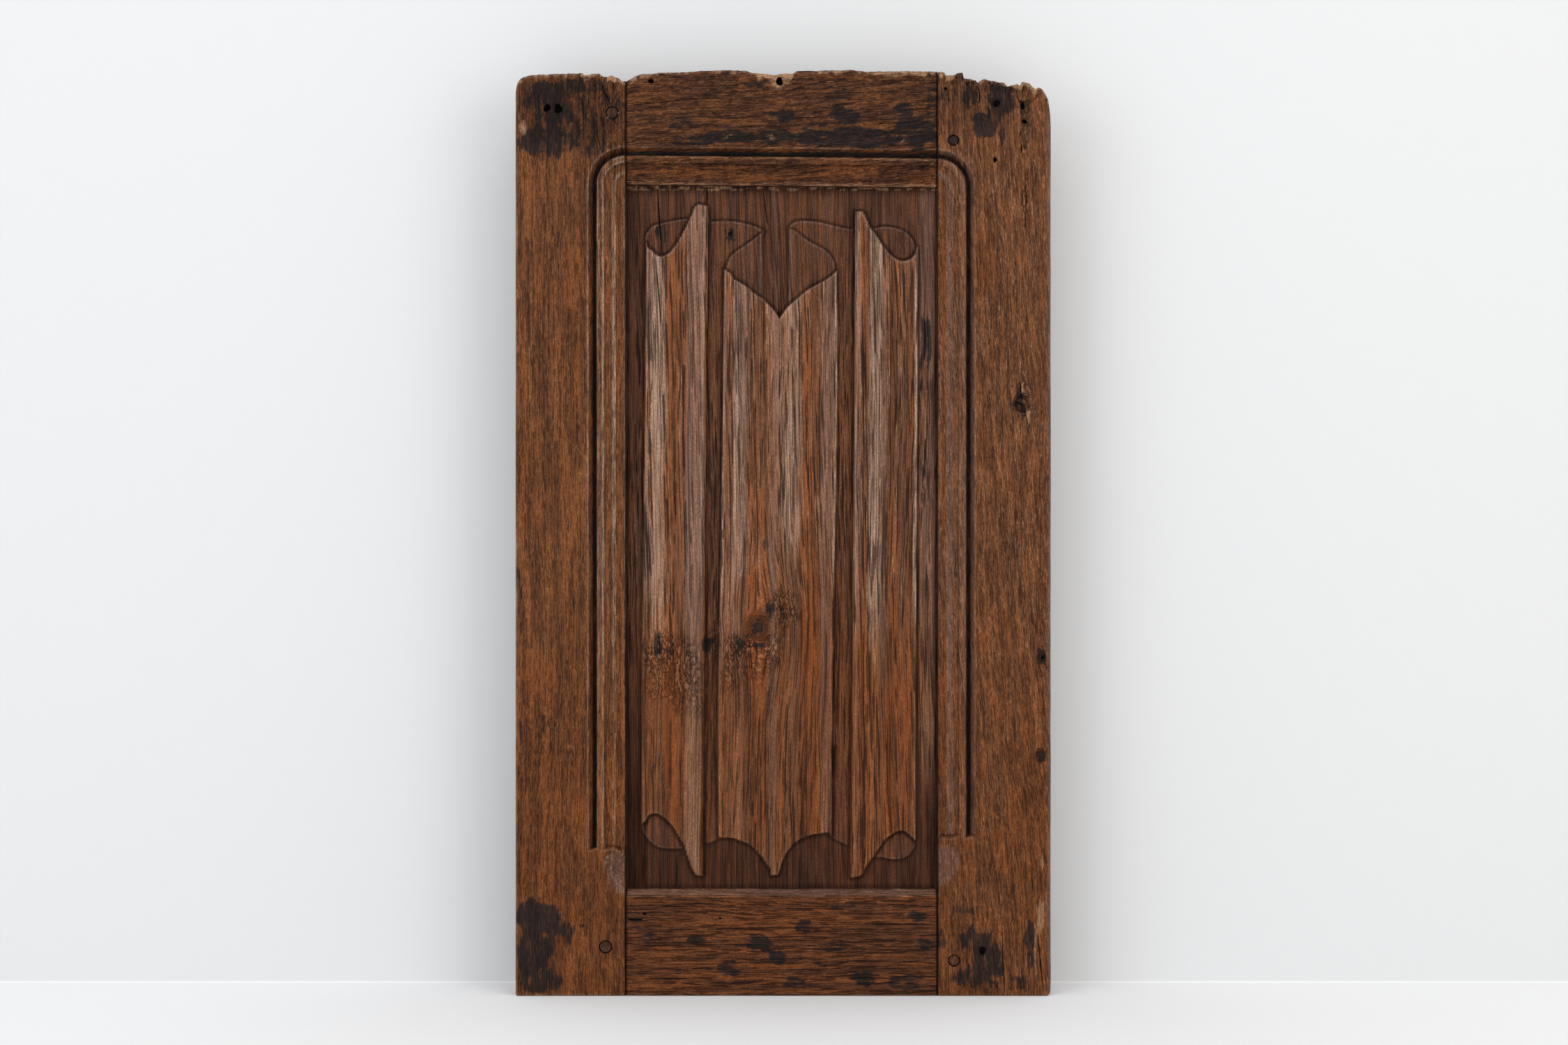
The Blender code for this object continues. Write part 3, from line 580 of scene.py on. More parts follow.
def oak_finish(name, deep, base, warm, light, lines=1.0, ridges=0.5, mottle=0.6, gloss=0.36,
               shine=0.12, relief=1.0, run=1.0, fine=1.0, seed=0.0, rub_and_sheen=(0.36, 0.205, 0.125),
               knotty=True):
    """Old waxed oak: fibres, pores and painted glints along the grain, and stains, wear, grime, painted
    sheen and painted shade as marked.
    """
    oak = Finish(name)
    grain = oak.add("ShaderNodeAttribute", {"attribute_name": "grain"}, output=1)
    marks = oak.add("ShaderNodeAttribute", {"attribute_name": "marks"})
    stain, worn, dirt_and_shade = oak.channels(marks)
    fresh = Wire(oak, marks.socket.node.outputs[3])
    bands = oak.add("ShaderNodeAttribute", {"attribute_name": "bands"})
    cream_wear_and_sheen, grey_sheen, rusty = oak.channels(bands)
    calm = Wire(oak, bands.socket.node.outputs[3])
    traits = oak.add("ShaderNodeAttribute", {"attribute_name": "traits"})
    gnarled, film_and_sheen, ruddy = oak.channels(traits)
    plain = Wire(oak, traits.socket.node.outputs[3])

    bundles = oak.noise(grain, (170.0, 60.0, 4.0 * run), 2.0, 0.5, seed)
    fibres = oak.noise(grain, (700.0 * fine, 160.0, 10.0 * run), 3.0, 0.7, seed + 3.1)
    flecks = oak.noise(grain, (1100.0 * fine, 260.0, 60.0 * run), 2.0, 0.6, seed + 5.7)
    wander = oak.noise(grain, (430.0 * fine, 90.0, 5.0 * run), 3.0, 0.4, seed + 8.3)
    stray = oak.noise(grain, (900.0 * fine, 160.0, 14.0 * run), 1.0, 0.4, seed + 9.7)
    gaps = oak.noise(grain, (430.0 * fine, 160.0, 28.0 * run), 1.0, 0.5, seed + 10.9)
    clouds = oak.noise(grain, (34.0, 20.0, 10.0 * run), 3.0, 0.6, seed + 11.9)
    grit = oak.noise(grain, (1500.0, 800.0, 420.0), 1.0, 0.5, seed + 13.3)
    smear = oak.noise(grain, (260.0, 120.0, 55.0), 3.0, 0.65, seed + 17.1)
    broken = gaps.between(0.42, 0.50)
    threads = (1.0 - (wander - 0.5).sum("ABSOLUTE") * 19.0).between(0.10, 0.55) * broken
    hairs = (1.0 - (stray - 0.5).sum("ABSOLUTE") * 14.0).between(0.25, 0.75)
    hairs = hairs * gaps.between(0.47, 0.58)
    pores = (threads * (1.0 - calm * 0.45) + hairs * (0.7 - calm * 0.5)).clamped() * lines
    # Painted glints: thin bright lines beside the pores, on the fibre ridges.
    glints = (1.0 - (wander - 0.575).sum("ABSOLUTE") * 18.0).between(0.15, 0.75)
    glints = glints * flecks.between(0.42, 0.56)
    tops = fibres.between(0.44, 0.54)

    tone = oak.mix(fibres.between(0.38, 0.60), deep, base)
    tone = oak.mix(bundles.between(0.45, 0.60) * 0.8, tone, warm)
    tone = oak.mix((0.5 - flecks).between(-0.02, 0.12) * 0.50, tone, (0.40, 0.37, 0.36), "MULTIPLY")
    tone = oak.mix(clouds.between(0.50, 0.76) * mottle, tone, (0.40, 0.36, 0.34), "MULTIPLY")
    tone = oak.mix((rusty * bundles.between(0.36, 0.58) * 0.8).clamped(), tone, (0.225, 0.062, 0.011))
    # Painted highlights on proud and worn places, then painted cool sheen, then the painted glints.
    rubbed_and_sheen = (worn * 0.5 + cream_wear_and_sheen) * (tops * 0.75 + 0.25)
    tone = oak.mix(rubbed_and_sheen.clamped() * 0.85, tone, rub_and_sheen)
    tone = oak.mix((grey_sheen * (tops * 0.5 + 0.5)).clamped() * 0.62, tone, (0.275, 0.155, 0.118))
    tone = oak.mix(glints * (1.0 - ruddy * 0.55) * (1.0 - plain * 0.85) * ridges, tone, light)
    tone = oak.mix((ruddy * 0.85).clamped(), tone, (1.00, 0.85, 0.60), "MULTIPLY")
    # Old film together with painted sheen, in a pale pinkish colour.
    filmed_and_sheened = (film_and_sheen * (0.75 + (smear - 0.5) * 1.6)).clamped()
    tone = oak.mix(filmed_and_sheened * 0.85, tone, (0.185, 0.097, 0.068))
    tone = oak.mix(pores * (1.0 - film_and_sheen * 0.5) * 0.88, tone, (0.08, 0.060, 0.065), "MULTIPLY")
    height = fibres * 0.7 + flecks * 0.3 - pores * 0.6 + glints * 0.25 + bundles * 0.7
    if knotty:
        curls = oak.noise(grain, (330.0, 240.0, 130.0), 2.0, 0.55, seed + 19.3)
        crevices = (1.0 - (curls - 0.5).sum("ABSOLUTE") * 11.0).between(0.25, 0.85) * gnarled
        tone = oak.mix(crevices * 0.85, tone, (0.10, 0.085, 0.085), "MULTIPLY")
        # Painted highlight on the tops of the knotty lumps.
        tone = oak.mix(curls.between(0.58, 0.70) * gnarled * 0.45, tone, light)
        height = height + gnarled * curls * 1.6 - crevices * 1.2
    edge = (smear - 0.5) * 2.4 + (fibres - 0.5) * 1.3 + (clouds - 0.5) * 0.8
    stained = (stain + edge * stain.between(0.0, 0.40)).between(0.28, 0.78)
    depth = (0.30 + smear * 0.75 + (0.5 - flecks) * 0.9).clamped()
    tone = oak.mix(stained * (0.62 + depth * 0.36), tone, (0.0105, 0.0095, 0.0105))
    # Grime together with painted shade in hollows, grooves and gaps.
    tone = oak.mix((dirt_and_shade * 0.9).clamped(), tone, (0.16, 0.13, 0.12), "MULTIPLY")
    torn = (fresh * 1.5 + (flecks - 0.5) * 1.6).clamped() * fresh.between(0.0, 0.15)
    tone = oak.mix(torn * 0.9, tone, (0.42, 0.235, 0.125))
    tone = oak.mix(1.0, tone, 1.02 + (bundles - 0.5) * 0.6 + (clouds - 0.5) * 0.9, "MULTIPLY")
    tone = oak.mix(grit.between(0.34, 0.66, 0.45, 0.0), tone, (0.30, 0.28, 0.28), "MULTIPLY")
    tone = oak.mix(grit.between(0.56, 0.72) * 0.35, tone, (1.9, 1.9, 1.9), "MULTIPLY")
    oak.feed(oak.shader.inputs["Base Color"], tone)

    dull = gloss + (0.5 - fibres) * 0.5 + dirt_and_shade * 0.4 + pores * 0.3 + fresh * 0.3 + stained * 0.1
    oak.feed(oak.shader.inputs["Roughness"], dull.clamped())
    bump = oak.add("ShaderNodeBump", {}, Strength=1.0, Distance=0.0010 * relief, Height=height)
    oak.feed(oak.shader.inputs["Normal"], bump)
    oak.shader.inputs["Specular IOR Level"].default_value = shine
    return oak.material


def cut_finish(name, colour):
    """The dark inside of cracks, holes and joints: grime with painted shade, near black."""
    made = Finish(name)
    place = made.add("ShaderNodeTexCoord", {}, output=3)
    grit = made.noise(place, (700.0, 700.0, 300.0), 2.0)
    tone = made.mix(grit, colour, tuple(value * 2.6 for value in colour))
    made.feed(made.shader.inputs["Base Color"], tone)
    made.shader.inputs["Roughness"].default_value = 0.85
    return made.material


def back_finish(name, dark, light):
    """Dry unwaxed oak with the marks of the saw, for the back."""
    made = Finish(name)
    grain = made.add("ShaderNodeAttribute", {"attribute_name": "grain"}, output=1)
    fibres = made.noise(grain, (900.0, 900.0, 45.0), 3.0, 0.6)
    clouds = made.noise(grain, (20.0, 20.0, 9.0), 3.0, 0.6, 4.0)
    kerf = made.noise(grain, (12.0, 12.0, 420.0), 2.0, 0.5, 7.0)
    tone = made.mix(fibres.between(0.3, 0.7), dark, light)
    tone = made.mix(clouds.between(0.4, 0.7) * 0.6, tone, tuple(value * 0.5 for value in dark))
    made.feed(made.shader.inputs["Base Color"], tone)
    made.feed(made.shader.inputs["Roughness"], 0.62 + fibres * 0.25)
    height = fibres * 0.6 + kerf * 0.5
    bump = made.add("ShaderNodeBump", {}, Strength=0.8, Distance=0.0006, Height=height)
    made.feed(made.shader.inputs["Normal"], bump)
    return made.material


def vertex_places(mesh):
    """The x, y and z of a mesh's vertices."""
    places = np.empty(len(mesh.vertices) * 3)
    mesh.vertices.foreach_get("co", places)
    return places.reshape(-1, 3).T


def store(mesh, name, values, kind="FLOAT_COLOR", part="color"):
    """Keeps several values for each vertex in an attribute."""
    layer = mesh.attributes.new(name, kind, "POINT")
    layer.data.foreach_set(part, np.stack(values, axis=-1).astype(np.float32).ravel())


def mark(mesh, relief, fields, grain):
    """Keeps how the grain runs and where the wood is stained, worn, dirty or pale, with the painted
    highlights and painted shade that go with wear and grime.
    """
    x, y, z = vertex_places(mesh)
    surface = relief.look_up(relief.y, x, z)
    behind = y - surface
    reach = 0.022 if BACK - y.min() > 0.03 and y.max() > -0.001 else 0.006
    seen = 1 - soft_step(behind, reach * 0.75, reach)
    values = [relief.look_up(fields[key], x, z) for key in ("stain", "worn", "dirt_and_shade", "pale")]
    # Painted shade on faces that lie deeper inside cuts, added to the grime channel.
    deep = soft_step(behind, 0.0006, 0.0030) * (y < GROUND + 0.002)
    values[1] = values[1] * (1 - soft_step(behind, 0.0004, 0.002))
    values[2] = np.clip(values[2] + deep * 0.4, 0.0, 1.0)
    patchy = 0.25 + 1.1 * np.maximum(rough_noise(x, y, 0.012, 0.006, 19), 0.0)
    buried = soft_step(behind, 0.0012, 0.0050)
    values[3] = values[3] * (1 - buried * (1 - patchy))
    values[0] = values[0] * (1 - 0.6 * buried)
    store(mesh, "marks", [value * seen for value in values])
    for name, keys in (("bands", BAND_FIELDS), ("traits", TRAIT_FIELDS)):
        store(mesh, name, [relief.look_up(fields[key], x, z) * seen for key in keys])
    store(mesh, "grain", grain(x, y, z), "FLOAT_VECTOR", "vector")


def hand_over(piece, node):
    """Moves a piece to the panel's collection, where it stands for a solid."""
    for group in list(piece.users_collection):
        group.objects.unlink(piece)
    panel.objects.link(piece)
    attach(piece, "root")
    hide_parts(node)


def make_piece(name, node, relief, fields, grain, back_rows, oak, joints, cracks, holes):
    """Makes a piece from its front, cuts its joints, cracks and holes, and hands it over."""
    piece = sheet_solid(name, relief, back_rows, [oak, CRACK_DIRT_AND_SHADE, BACK_OAK])
    for tools, operation, index in joints:
        work(piece, tools, operation, index)
    face = front_of(relief)
    work(piece, cracked(cracks, face), "DIFFERENCE", CUT_FACES)
    if holes:
        work(piece, bored(holes, face), "DIFFERENCE", CUT_FACES)
    shade(piece)
    mark(piece.data, relief, fields, grain)
    for layer in [layer.name for layer in piece.data.uv_layers]:
        piece.data.uv_layers.remove(piece.data.uv_layers[layer])
    hand_over(piece, node)


def patch(x, z, centre, reach_x, reach_z, seed=1, ragged=0.5):
    """A soft uneven patch, 1 in the middle and 0 outside."""
    u = (x - centre[0]) / (reach_x * MM)
    v = (z - centre[1]) / (reach_z * MM)
    uneven = rough_noise(x, z, reach_x * MM * 0.5, reach_z * MM * 0.5, seed)
    return soft_step(-(np.hypot(u, v) + uneven * ragged), -1.30, -0.60)


def patches(x, z, places, seed):
    """Several soft patches together."""
    total = np.zeros(x.shape)
    for index, (across, up, wide, tall, strength) in enumerate(places):
        total = np.maximum(
            total, strength * patch(x, z, spot(across, up), wide, tall, seed=seed + index)
        )
    return total


def sunk(x, z, holes):
    """The shallow funnel that is worn round each hole."""
    depth = np.zeros(x.shape)
    for across, up, radius, _ in holes:
        centre = spot(across, up)
        uneven = 1 + 0.25 * rough_noise(x, z, 0.003, 0.004, int(across * 10) % 97)
        distance = np.hypot(x - centre[0], (z - centre[1]) * 0.85) / (radius * MM)
        depth = np.maximum(depth, 0.0011 * (1 - soft_step(distance * uneven, 0.8, 1.7)))
    return depth


def bored(holes, face):
    """Cutters for nail holes, which aren't quite round."""
    tools = []
    for across, up, radius, depth in holes:
        x, z = spot(across, up)
        tool = dowel(x, z, radius * MM, FRONT - 0.004, face(x, z) + depth * MM,
                     NAIL_HOLE_SIDES)
        for vertex in tool.data.vertices:
            turn = math.atan2(vertex.co.z - z, vertex.co.x - x)
            reach = 1 + 0.14 * math.sin(2 * turn + across) + 0.10 * math.sin(3 * turn + up)
            vertex.co.x = x + (vertex.co.x - x) * reach
            vertex.co.z = z + (vertex.co.z - z) * reach
        tools.append(tool)
    return tools


def cracked(cracks, face):
    """Cutters for cracks."""
    return [wedge(smooth(spots(*line), 3), width * MM, depth * MM, face)
            for width, depth, *line in cracks]


# Damage, in millimetres from the panel's lower left corner. A stain or a gnarled place is its
# middle, half width, half height and strength. A hole is its middle, radius and depth. A crack is
# its width and depth, then the places that it runs through.
LEFT_STILE_STAINS = [
    (33, 897, 22, 13, 1.0), (31, 851, 26, 19, 1.0), (36, 878, 20, 22, 0.85), (12, 850, 9, 10, 0.8),
    (66, 870, 26, 28, 0.45), (72, 905, 24, 9, 0.40), (80, 848, 16, 16, 0.60), (94, 876, 14, 22, 0.50),
    (12, 896, 10, 14, 0.5), (52, 902, 20, 9, 0.8), (58, 856, 12, 10, 0.6),
    (24, 74, 25, 19, 1.0), (46, 64, 15, 9, 0.8), (62, 69, 8, 4, 0.6), (21, 42, 19, 24, 1.0),
    (26, 20, 17, 17, 0.9), (9, 30, 9, 28, 0.8), (54, 50, 4, 8, 0.45), (91, 86, 6, 6, 0.35),
    (58, 242, 3, 7, 0.7), (52, 275, 16, 9, 0.30), (26, 268, 14, 12, 0.35), (4, 420, 3, 30, 0.4),
    (5, 240, 4, 40, 0.3),
]
LEFT_STILE_HOLES = [(30.9, 882.4, 3.8, 15), (42.0, 881.6, 4.4, 14)]
LEFT_STILE_CRACKS = [
    (2.0, 7, (85.6, 907), (87.5, 898), (92.0, 891), (93.6, 886)),
    (1.4, 5, (79.4, 863), (82.3, 849.5), (86.3, 836)),
    (1.2, 5, (96.6, 872), (98.4, 868), (100.6, 866)),
    (1.0, 4, (77.0, 911), (78.6, 905), (79.2, 897)),
    (1.2, 5, (96.5, 910), (97.4, 903), (97.6, 897)),
]
RIGHT_STILE_STAINS = [
    (451, 894, 8, 12, 0.95), (481, 893, 14, 19, 1.0), (465, 866, 15, 14, 0.95),
    (476, 876, 9, 12, 0.8), (492, 888, 7, 12, 0.6), (484, 858, 4, 12, 0.5), (504.5, 881, 4, 5, 1.0),
    (432, 868, 9, 7, 0.5), (428, 896, 14, 10, 0.45), (457, 54, 22, 14, 0.9), (470, 31, 16, 22, 1.0),
    (453, 19, 20, 12, 0.8), (511, 57, 6, 15, 0.85), (500, 13, 7, 9, 0.75), (421, 58, 5, 13, 0.7),
    (446, 86, 16, 5, 0.5), (512, 36, 6, 10, 0.6), (501, 593, 4, 9, 0.8), (498, 588, 6, 3.5, 0.8),
    (504, 580, 4, 7, 0.7), (522, 336, 5, 9, 0.9), (521, 238, 5, 8, 0.8), (434, 74, 7, 7, 0.35),
    (470, 535, 3, 3, 0.5), (492, 620, 5, 14, 0.35),
]
RIGHT_STILE_HOLES = [
    (477.5, 886.8, 3.5, 9), (505.6, 868.8, 2.4, 14), (476.1, 830.7, 2.1, 12),
    (463.6, 44.6, 3.9, 9), (427.0, 901.4, 1.3, 9), (523.4, 336, 1.6, 8),
]
RIGHT_STILE_CRACKS = [
    (2.0, 6, (501.2, 609), (501.8, 600), (502.8, 592)),
    (2.8, 6, (496.0, 590.5), (500.5, 588.6), (504.5, 586.0)),
    (1.6, 5, (505.6, 584), (506.8, 575), (508.6, 568)),
    (1.4, 6, (483.0, 72), (483.7, 38), (485.8, 3)), (1.6, 6, (518.3, 62), (521.0, 34), (523.8, 5)),
    (1.4, 5, (512.0, 122), (513.0, 112), (513.2, 103)), (0.9, 4, (503.8, 60), (504.4, 40), (503.0, 22)),
    (2.2, 6, (460.0, 901), (460.8, 894), (460.0, 886)), (1.4, 6, (504.4, 905), (503.6, 897)),
    (1.3, 5, (497.0, 901), (498.4, 893), (500.5, 887)), (1.2, 6, (519.0, 898), (517.5, 893), (513, 889)),
    (1.8, 6, (501.7, 848), (502.2, 842), (501.8, 836)), (1.0, 4, (446.8, 98), (447.4, 90)),
    (6.5, 9, (503.2, 888.5), (504.0, 880.5)), (1.4, 5, (501.8, 862), (501.0, 853)),
    (1.1, 4, (505.6, 818), (506.8, 790), (506.4, 768), (508.0, 748)),
]
TOP_RAIL_STAINS = [
    (211, 854, 30, 9, 0.95), (266, 874, 14, 8, 0.85), (325, 875, 15, 10, 0.95), (259, 853, 26, 8, 0.9),
    (291, 853, 19, 10, 1.0), (346, 853, 44, 12, 1.0), (387, 878, 14, 10, 0.8), (398, 858, 22, 20, 0.9),
    (166, 867, 16, 8, 0.6), (176, 850, 24, 5, 0.7), (239, 906, 11, 3.5, 0.9), (330, 895, 26, 6, 0.4),
    (130, 852, 22, 12, 0.35), (416, 880, 8, 26, 0.6), (300, 866, 10, 7, 0.5),
]
TOP_RAIL_SPECKS = [(211, 853.5, 6, 4, 0.22), (254, 853, 5, 3.5, 0.2), (380, 851, 6, 4, 0.22)]
TOP_RAIL_HOLES = [(261.9, 908.6, 3.9, 12), (134.2, 908.8, 2.5, 10)]
TOP_RAIL_CRACKS = [
    (1.0, 4, (170, 905), (190, 903.8), (212, 905)), (1.2, 4, (300, 896), (330, 897.5), (352, 897)),
    (0.9, 3, (200, 872), (222, 872.6), (240, 874.2)), (1.1, 4, (395, 880), (412, 881), (426, 880.4)),
    (1.1, 4, (120, 886), (150, 888), (178, 892)), (1.0, 4, (352, 866), (376, 867), (398, 868.6)),
]
BOTTOM_RAIL_STAINS = [
    (242, 52, 12, 8, 0.85), (260, 38, 10, 8, 0.8), (287, 70, 9, 8, 0.95), (180, 54, 10, 7, 0.7),
    (211, 27, 12, 8, 0.85), (398, 79, 10, 6, 0.8), (408, 52, 10, 8, 0.8), (346, 17, 14, 7, 0.85),
    (388, 14, 18, 8, 0.9), (277, 14, 12, 7, 0.6), (318, 48, 14, 7, 0.5), (150, 20, 16, 8, 0.5),
    (330, 88, 30, 6, 0.4), (128, 60, 10, 10, 0.45), (300, 28, 10, 6, 0.5),
]
BOTTOM_RAIL_HOLES = [(128.0, 81.3, 1.5, 8), (203, 77, 1.2, 6)]
BOTTOM_RAIL_CRACKS = [
    (3.6, 8, (111, 76.4), (118, 75.4), (126, 76)), (1.3, 6, (129, 75.6), (150, 76.6), (182, 75.2)),
    (1.1, 4, (180, 50), (215, 50.8), (262, 49.6)), (1.2, 4, (240, 58), (290, 58.8), (335, 57.2)),
    (1.2, 4, (300, 30), (345, 29.2), (402, 30.2)), (1.5, 5, (128, 17), (150, 17.6), (176, 16.6)),
    (1.4, 5, (330, 17), (352, 18), (380, 16.4)), (1.1, 4, (190, 66), (214, 66.8), (246, 66)),
    (1.0, 4, (255, 86), (290, 86.6), (330, 86)), (1.0, 4, (112, 37), (150, 37.8), (196, 37)),
    (1.1, 4, (350, 70), (384, 70.8), (417, 70)), (1.2, 4, (150, 90.5), (180, 91.2), (206, 90.4)),
]
BOARD_GNARLED = [
    (146, 336, 17, 24, 0.9), (170, 330, 17, 26, 0.9), (158, 306, 26, 22, 0.7), (180, 296, 10, 20, 0.5),
    (222, 345, 18, 12, 1.0), (250, 336, 20, 12, 0.7), (266, 384, 14, 20, 0.9), (214, 330, 9, 26, 0.7),
    (252, 352, 14, 9, 0.6), (196, 352, 7, 18, 0.6), (232, 322, 22, 12, 0.4),
]
BOARD_STAINS = [
    (240, 365, 6, 5, 0.85), (246, 375, 6, 4, 0.3), (233, 355, 8, 3, 0.5), (223, 350, 8, 4, 0.85),
    (243, 347, 8, 3, 0.7), (189, 349, 7, 9, 0.9), (200, 345, 4, 10, 0.5),
    (141, 352, 4, 15, 0.8), (150, 338, 6, 8, 0.5), (213.1, 758, 6, 8, 0.7),
    (247, 448, 4, 10, 0.5), (206, 458, 3, 7, 0.5), (128, 335, 4, 26, 0.4), (407, 640, 6, 40, 0.7),
    (252, 384, 5, 10, 0.5), (146, 760, 9, 12, 0.55), (405, 520, 4, 40, 0.4),
]
BOARD_HOLES = [(213.1, 758.1, 2.3, 4)]
BOARD_CRACKS = [
    (2.4, 7, (140.3, 803), (141.6, 780), (143.4, 757), (145.0, 737)),
    (1.6, 7, (138.8, 733), (140.4, 712), (142.6, 688), (143.6, 665)),
    (2.2, 7, (189.4, 803), (189.6, 795), (189.8, 786)),
    (1.4, 5, (190.6, 782), (191.2, 740), (191.0, 690), (190.6, 643)),
    (1.6, 6, (245.6, 802), (247.6, 785), (249.8, 768)), (1.4, 6, (159.4, 136), (159.6, 122), (159, 107)),
    (1.4, 6, (219.4, 152), (219.6, 130), (219.2, 107)), (1.3, 5, (188.4, 362), (189.6, 350), (188.8, 338)),
    (1.5, 5, (141.0, 358), (143.0, 346), (142.2, 336)), (1.2, 4, (225, 351), (232, 347), (240, 348)),
    (1.8, 5, (405.6, 680), (407.4, 655), (406.2, 632)), (1.3, 4, (409.6, 628), (410.4, 600), (409.4, 580)),
]

panel = bpy.data.collections.new("Linenfold panel")
bpy.context.scene.collection.children.link(panel)

STILE_OAK = oak_finish("stile_oak", (0.112, 0.038, 0.012), (0.187, 0.063, 0.019),
                       (0.232, 0.076, 0.020), (0.300, 0.140, 0.062), lines=0.70, ridges=0.60,
                       mottle=0.65, relief=0.9, run=3.0, fine=1.3, seed=1.0, rub_and_sheen=(0.46, 0.32, 0.225))
RIGHT_STILE_OAK = oak_finish("right_stile_oak", (0.125, 0.044, 0.016), (0.190, 0.068, 0.024),
                             (0.245, 0.086, 0.026), (0.390, 0.205, 0.120), lines=0.70, ridges=0.75,
                             relief=1.0, run=3.2, fine=1.7, seed=13.0)
RAIL_OAK = oak_finish("top_rail_oak", (0.050, 0.018, 0.008), (0.120, 0.040, 0.013),
                      (0.180, 0.059, 0.016), (0.270, 0.125, 0.058), lines=0.75, ridges=0.6,
                      relief=1.7, run=4.5, fine=1.15, seed=23.0, rub_and_sheen=(0.30, 0.16, 0.095),
                      knotty=False)
SILL_OAK = oak_finish("bottom_rail_oak", (0.086, 0.030, 0.012), (0.145, 0.048, 0.016),
                      (0.200, 0.062, 0.016), (0.260, 0.122, 0.060), lines=0.9, ridges=0.5,
                      mottle=0.45, relief=1.4, run=1.8, fine=1.1, seed=31.0, rub_and_sheen=(0.28, 0.16, 0.10),
                      knotty=False)
BOARD_OAK = oak_finish("board_oak", (0.115, 0.040, 0.014), (0.185, 0.063, 0.020),
                       (0.255, 0.082, 0.020), (0.420, 0.240, 0.150), lines=1.0, ridges=0.6,
                       mottle=0.5, gloss=0.34, shine=0.15, relief=1.3, seed=43.0,
                       rub_and_sheen=(0.51, 0.350, 0.255))
PEG_OAK = oak_finish("peg_oak", (0.070, 0.028, 0.013), (0.120, 0.048, 0.022),
                     (0.150, 0.060, 0.026), (0.190, 0.100, 0.060), lines=0.5, seed=53.0, knotty=False)
CRACK_DIRT_AND_SHADE = cut_finish("crack", (0.006, 0.004, 0.003))
BACK_OAK = back_finish("back oak", (0.085, 0.045, 0.026), (0.20, 0.125, 0.078))


# Stiles

def stile_relief(side, relief):
    """Sets the depth of a stile's front: moulding, stop, worn arrises and grain."""
    x, z = relief.x, relief.z
    inner, outer = (OPENING_LEFT, LEFT) if side < 0 else (OPENING_RIGHT, RIGHT)
    stop = LEFT_STOP if side < 0 else RIGHT_STOP
    out = np.maximum((x - inner) * side, 0.0)
    rise = np.maximum(z - rail_edge(inner), 0.0)
    round_corner = np.hypot(out, rise)
    uneven = soft_noise(x, z, 0.011, 0.060, 5 + side) * 0.0003
    moulded = moulding_depth(round_corner + uneven)
    ending = stop + soft_noise(x, z * 0, 0.006, 1.0, 9) * 0.0016
    moulded = moulded * soft_step(z, ending - 0.0012, ending + 0.0035)
    depth = moulded
    radius = 0.0014 if side < 0 else 0.0046
    edge = (outer - x) * side + soft_noise(x * 0, z, 1.0, 0.030, 3) * 0.0005
    depth = depth + worn_arris(np.maximum(edge, 0.0), radius)
    depth = depth + worn_arris(out, 0.0009)
    below = soft_step(z, stop - 0.004, stop - 0.001)
    depth = depth + (1 - below) * worn_arris(out, 0.0035) * 0.5
    crest = relief.high - z
    broken = rough_noise(x, z, 0.004, 0.007, 17) * 0.0012
    depth = depth + worn_arris(np.maximum(crest + broken, 0.0), 0.0030)
    depth = depth + worn_arris(z - BOTTOM, 0.0012)
    swell = rough_noise(x, z, 0.030, 0.160, 21 + side) * 0.00035
    ridges = rough_noise(x, z, 0.0032, 0.070, 31 + side) * 0.00012
    depth = depth + swell + 0.0004 + ridges
    return depth, {"out": out, "round": round_corner, "crest": crest, "stop": stop}


def base_fields(relief, reach=0.0022, gain=0.00045):
    """Wear with painted highlights on proud places, and grime with painted shade in hollows, that follow
    from the relief itself.
    """
    even = blurred(relief.y, relief.x, relief.z, reach)
    proud = (even - relief.y) / gain
    worn = np.clip(proud, 0.0, 1.0)
    dirt_and_shade = np.clip(-proud * 0.8, 0.0, 1.0)
    fields = {key: np.zeros_like(even) for key in ("stain", "pale", *BAND_FIELDS, *TRAIT_FIELDS)}
    return {**fields, "worn": worn, "dirt_and_shade": dirt_and_shade}


def add_dirt_and_shade(fields, amount):
    """Adds grime and painted shade."""
    fields["dirt_and_shade"] = np.clip(fields["dirt_and_shade"] + amount, 0.0, 1.0)


def from_ends(x):
    """Distance from the nearer end of a rail, or from the nearer side of the opening."""
    return np.minimum(x - OPENING_LEFT, OPENING_RIGHT - x)


def banded(place, bands, x, z, waver, seed):
    """Strength across a profile of (place, strength), its edges wavering along the grain."""
    places, strength = zip(*bands)
    waver = rough_noise(x, z, 0.010, 0.060, seed) * waver
    return np.clip(np.interp(place + waver, places, strength), 0.0, 1.0)


def upright_grain(slant, knots, seed):
    """Grain that runs up a piece, leaning by slant and parting round knots."""
    def flow(x, y, z):
        across = x - slant * z + soft_noise(x, z, 0.06, 0.25, seed) * 0.004
        across = across + soft_noise(x, z, 0.02, 0.05, seed + 1) * 0.0008
        up = z
        for (kx, kz), push, size in knots:
            dx, dz = x - kx, z - kz
            bulge = np.exp(-(dz / (size * 1.9)) ** 2 - (dx / (size * 1.6)) ** 2)
            across = across - push * np.tanh(dx / (size * 0.35)) * bulge * (0.45 + 0.55 * (dx > 0))
            distance = np.hypot(dx, dz)
            core = np.exp(-(distance / (size * 0.30)) ** 4)
            across = across * (1 - core) + (kx + distance * 1.6) * core
            up = up * (1 - core) + (kz + np.arctan2(dz, dx) * size * 0.1) * core
        return across, y, up
    return flow


def level_grain(slant, seed):
    """Grain that runs along a rail."""
    def flow(x, y, z):
        across = z - slant * x + soft_noise(x, z, 0.12, 0.03, seed) * 0.003
        return across, y, x
    return flow


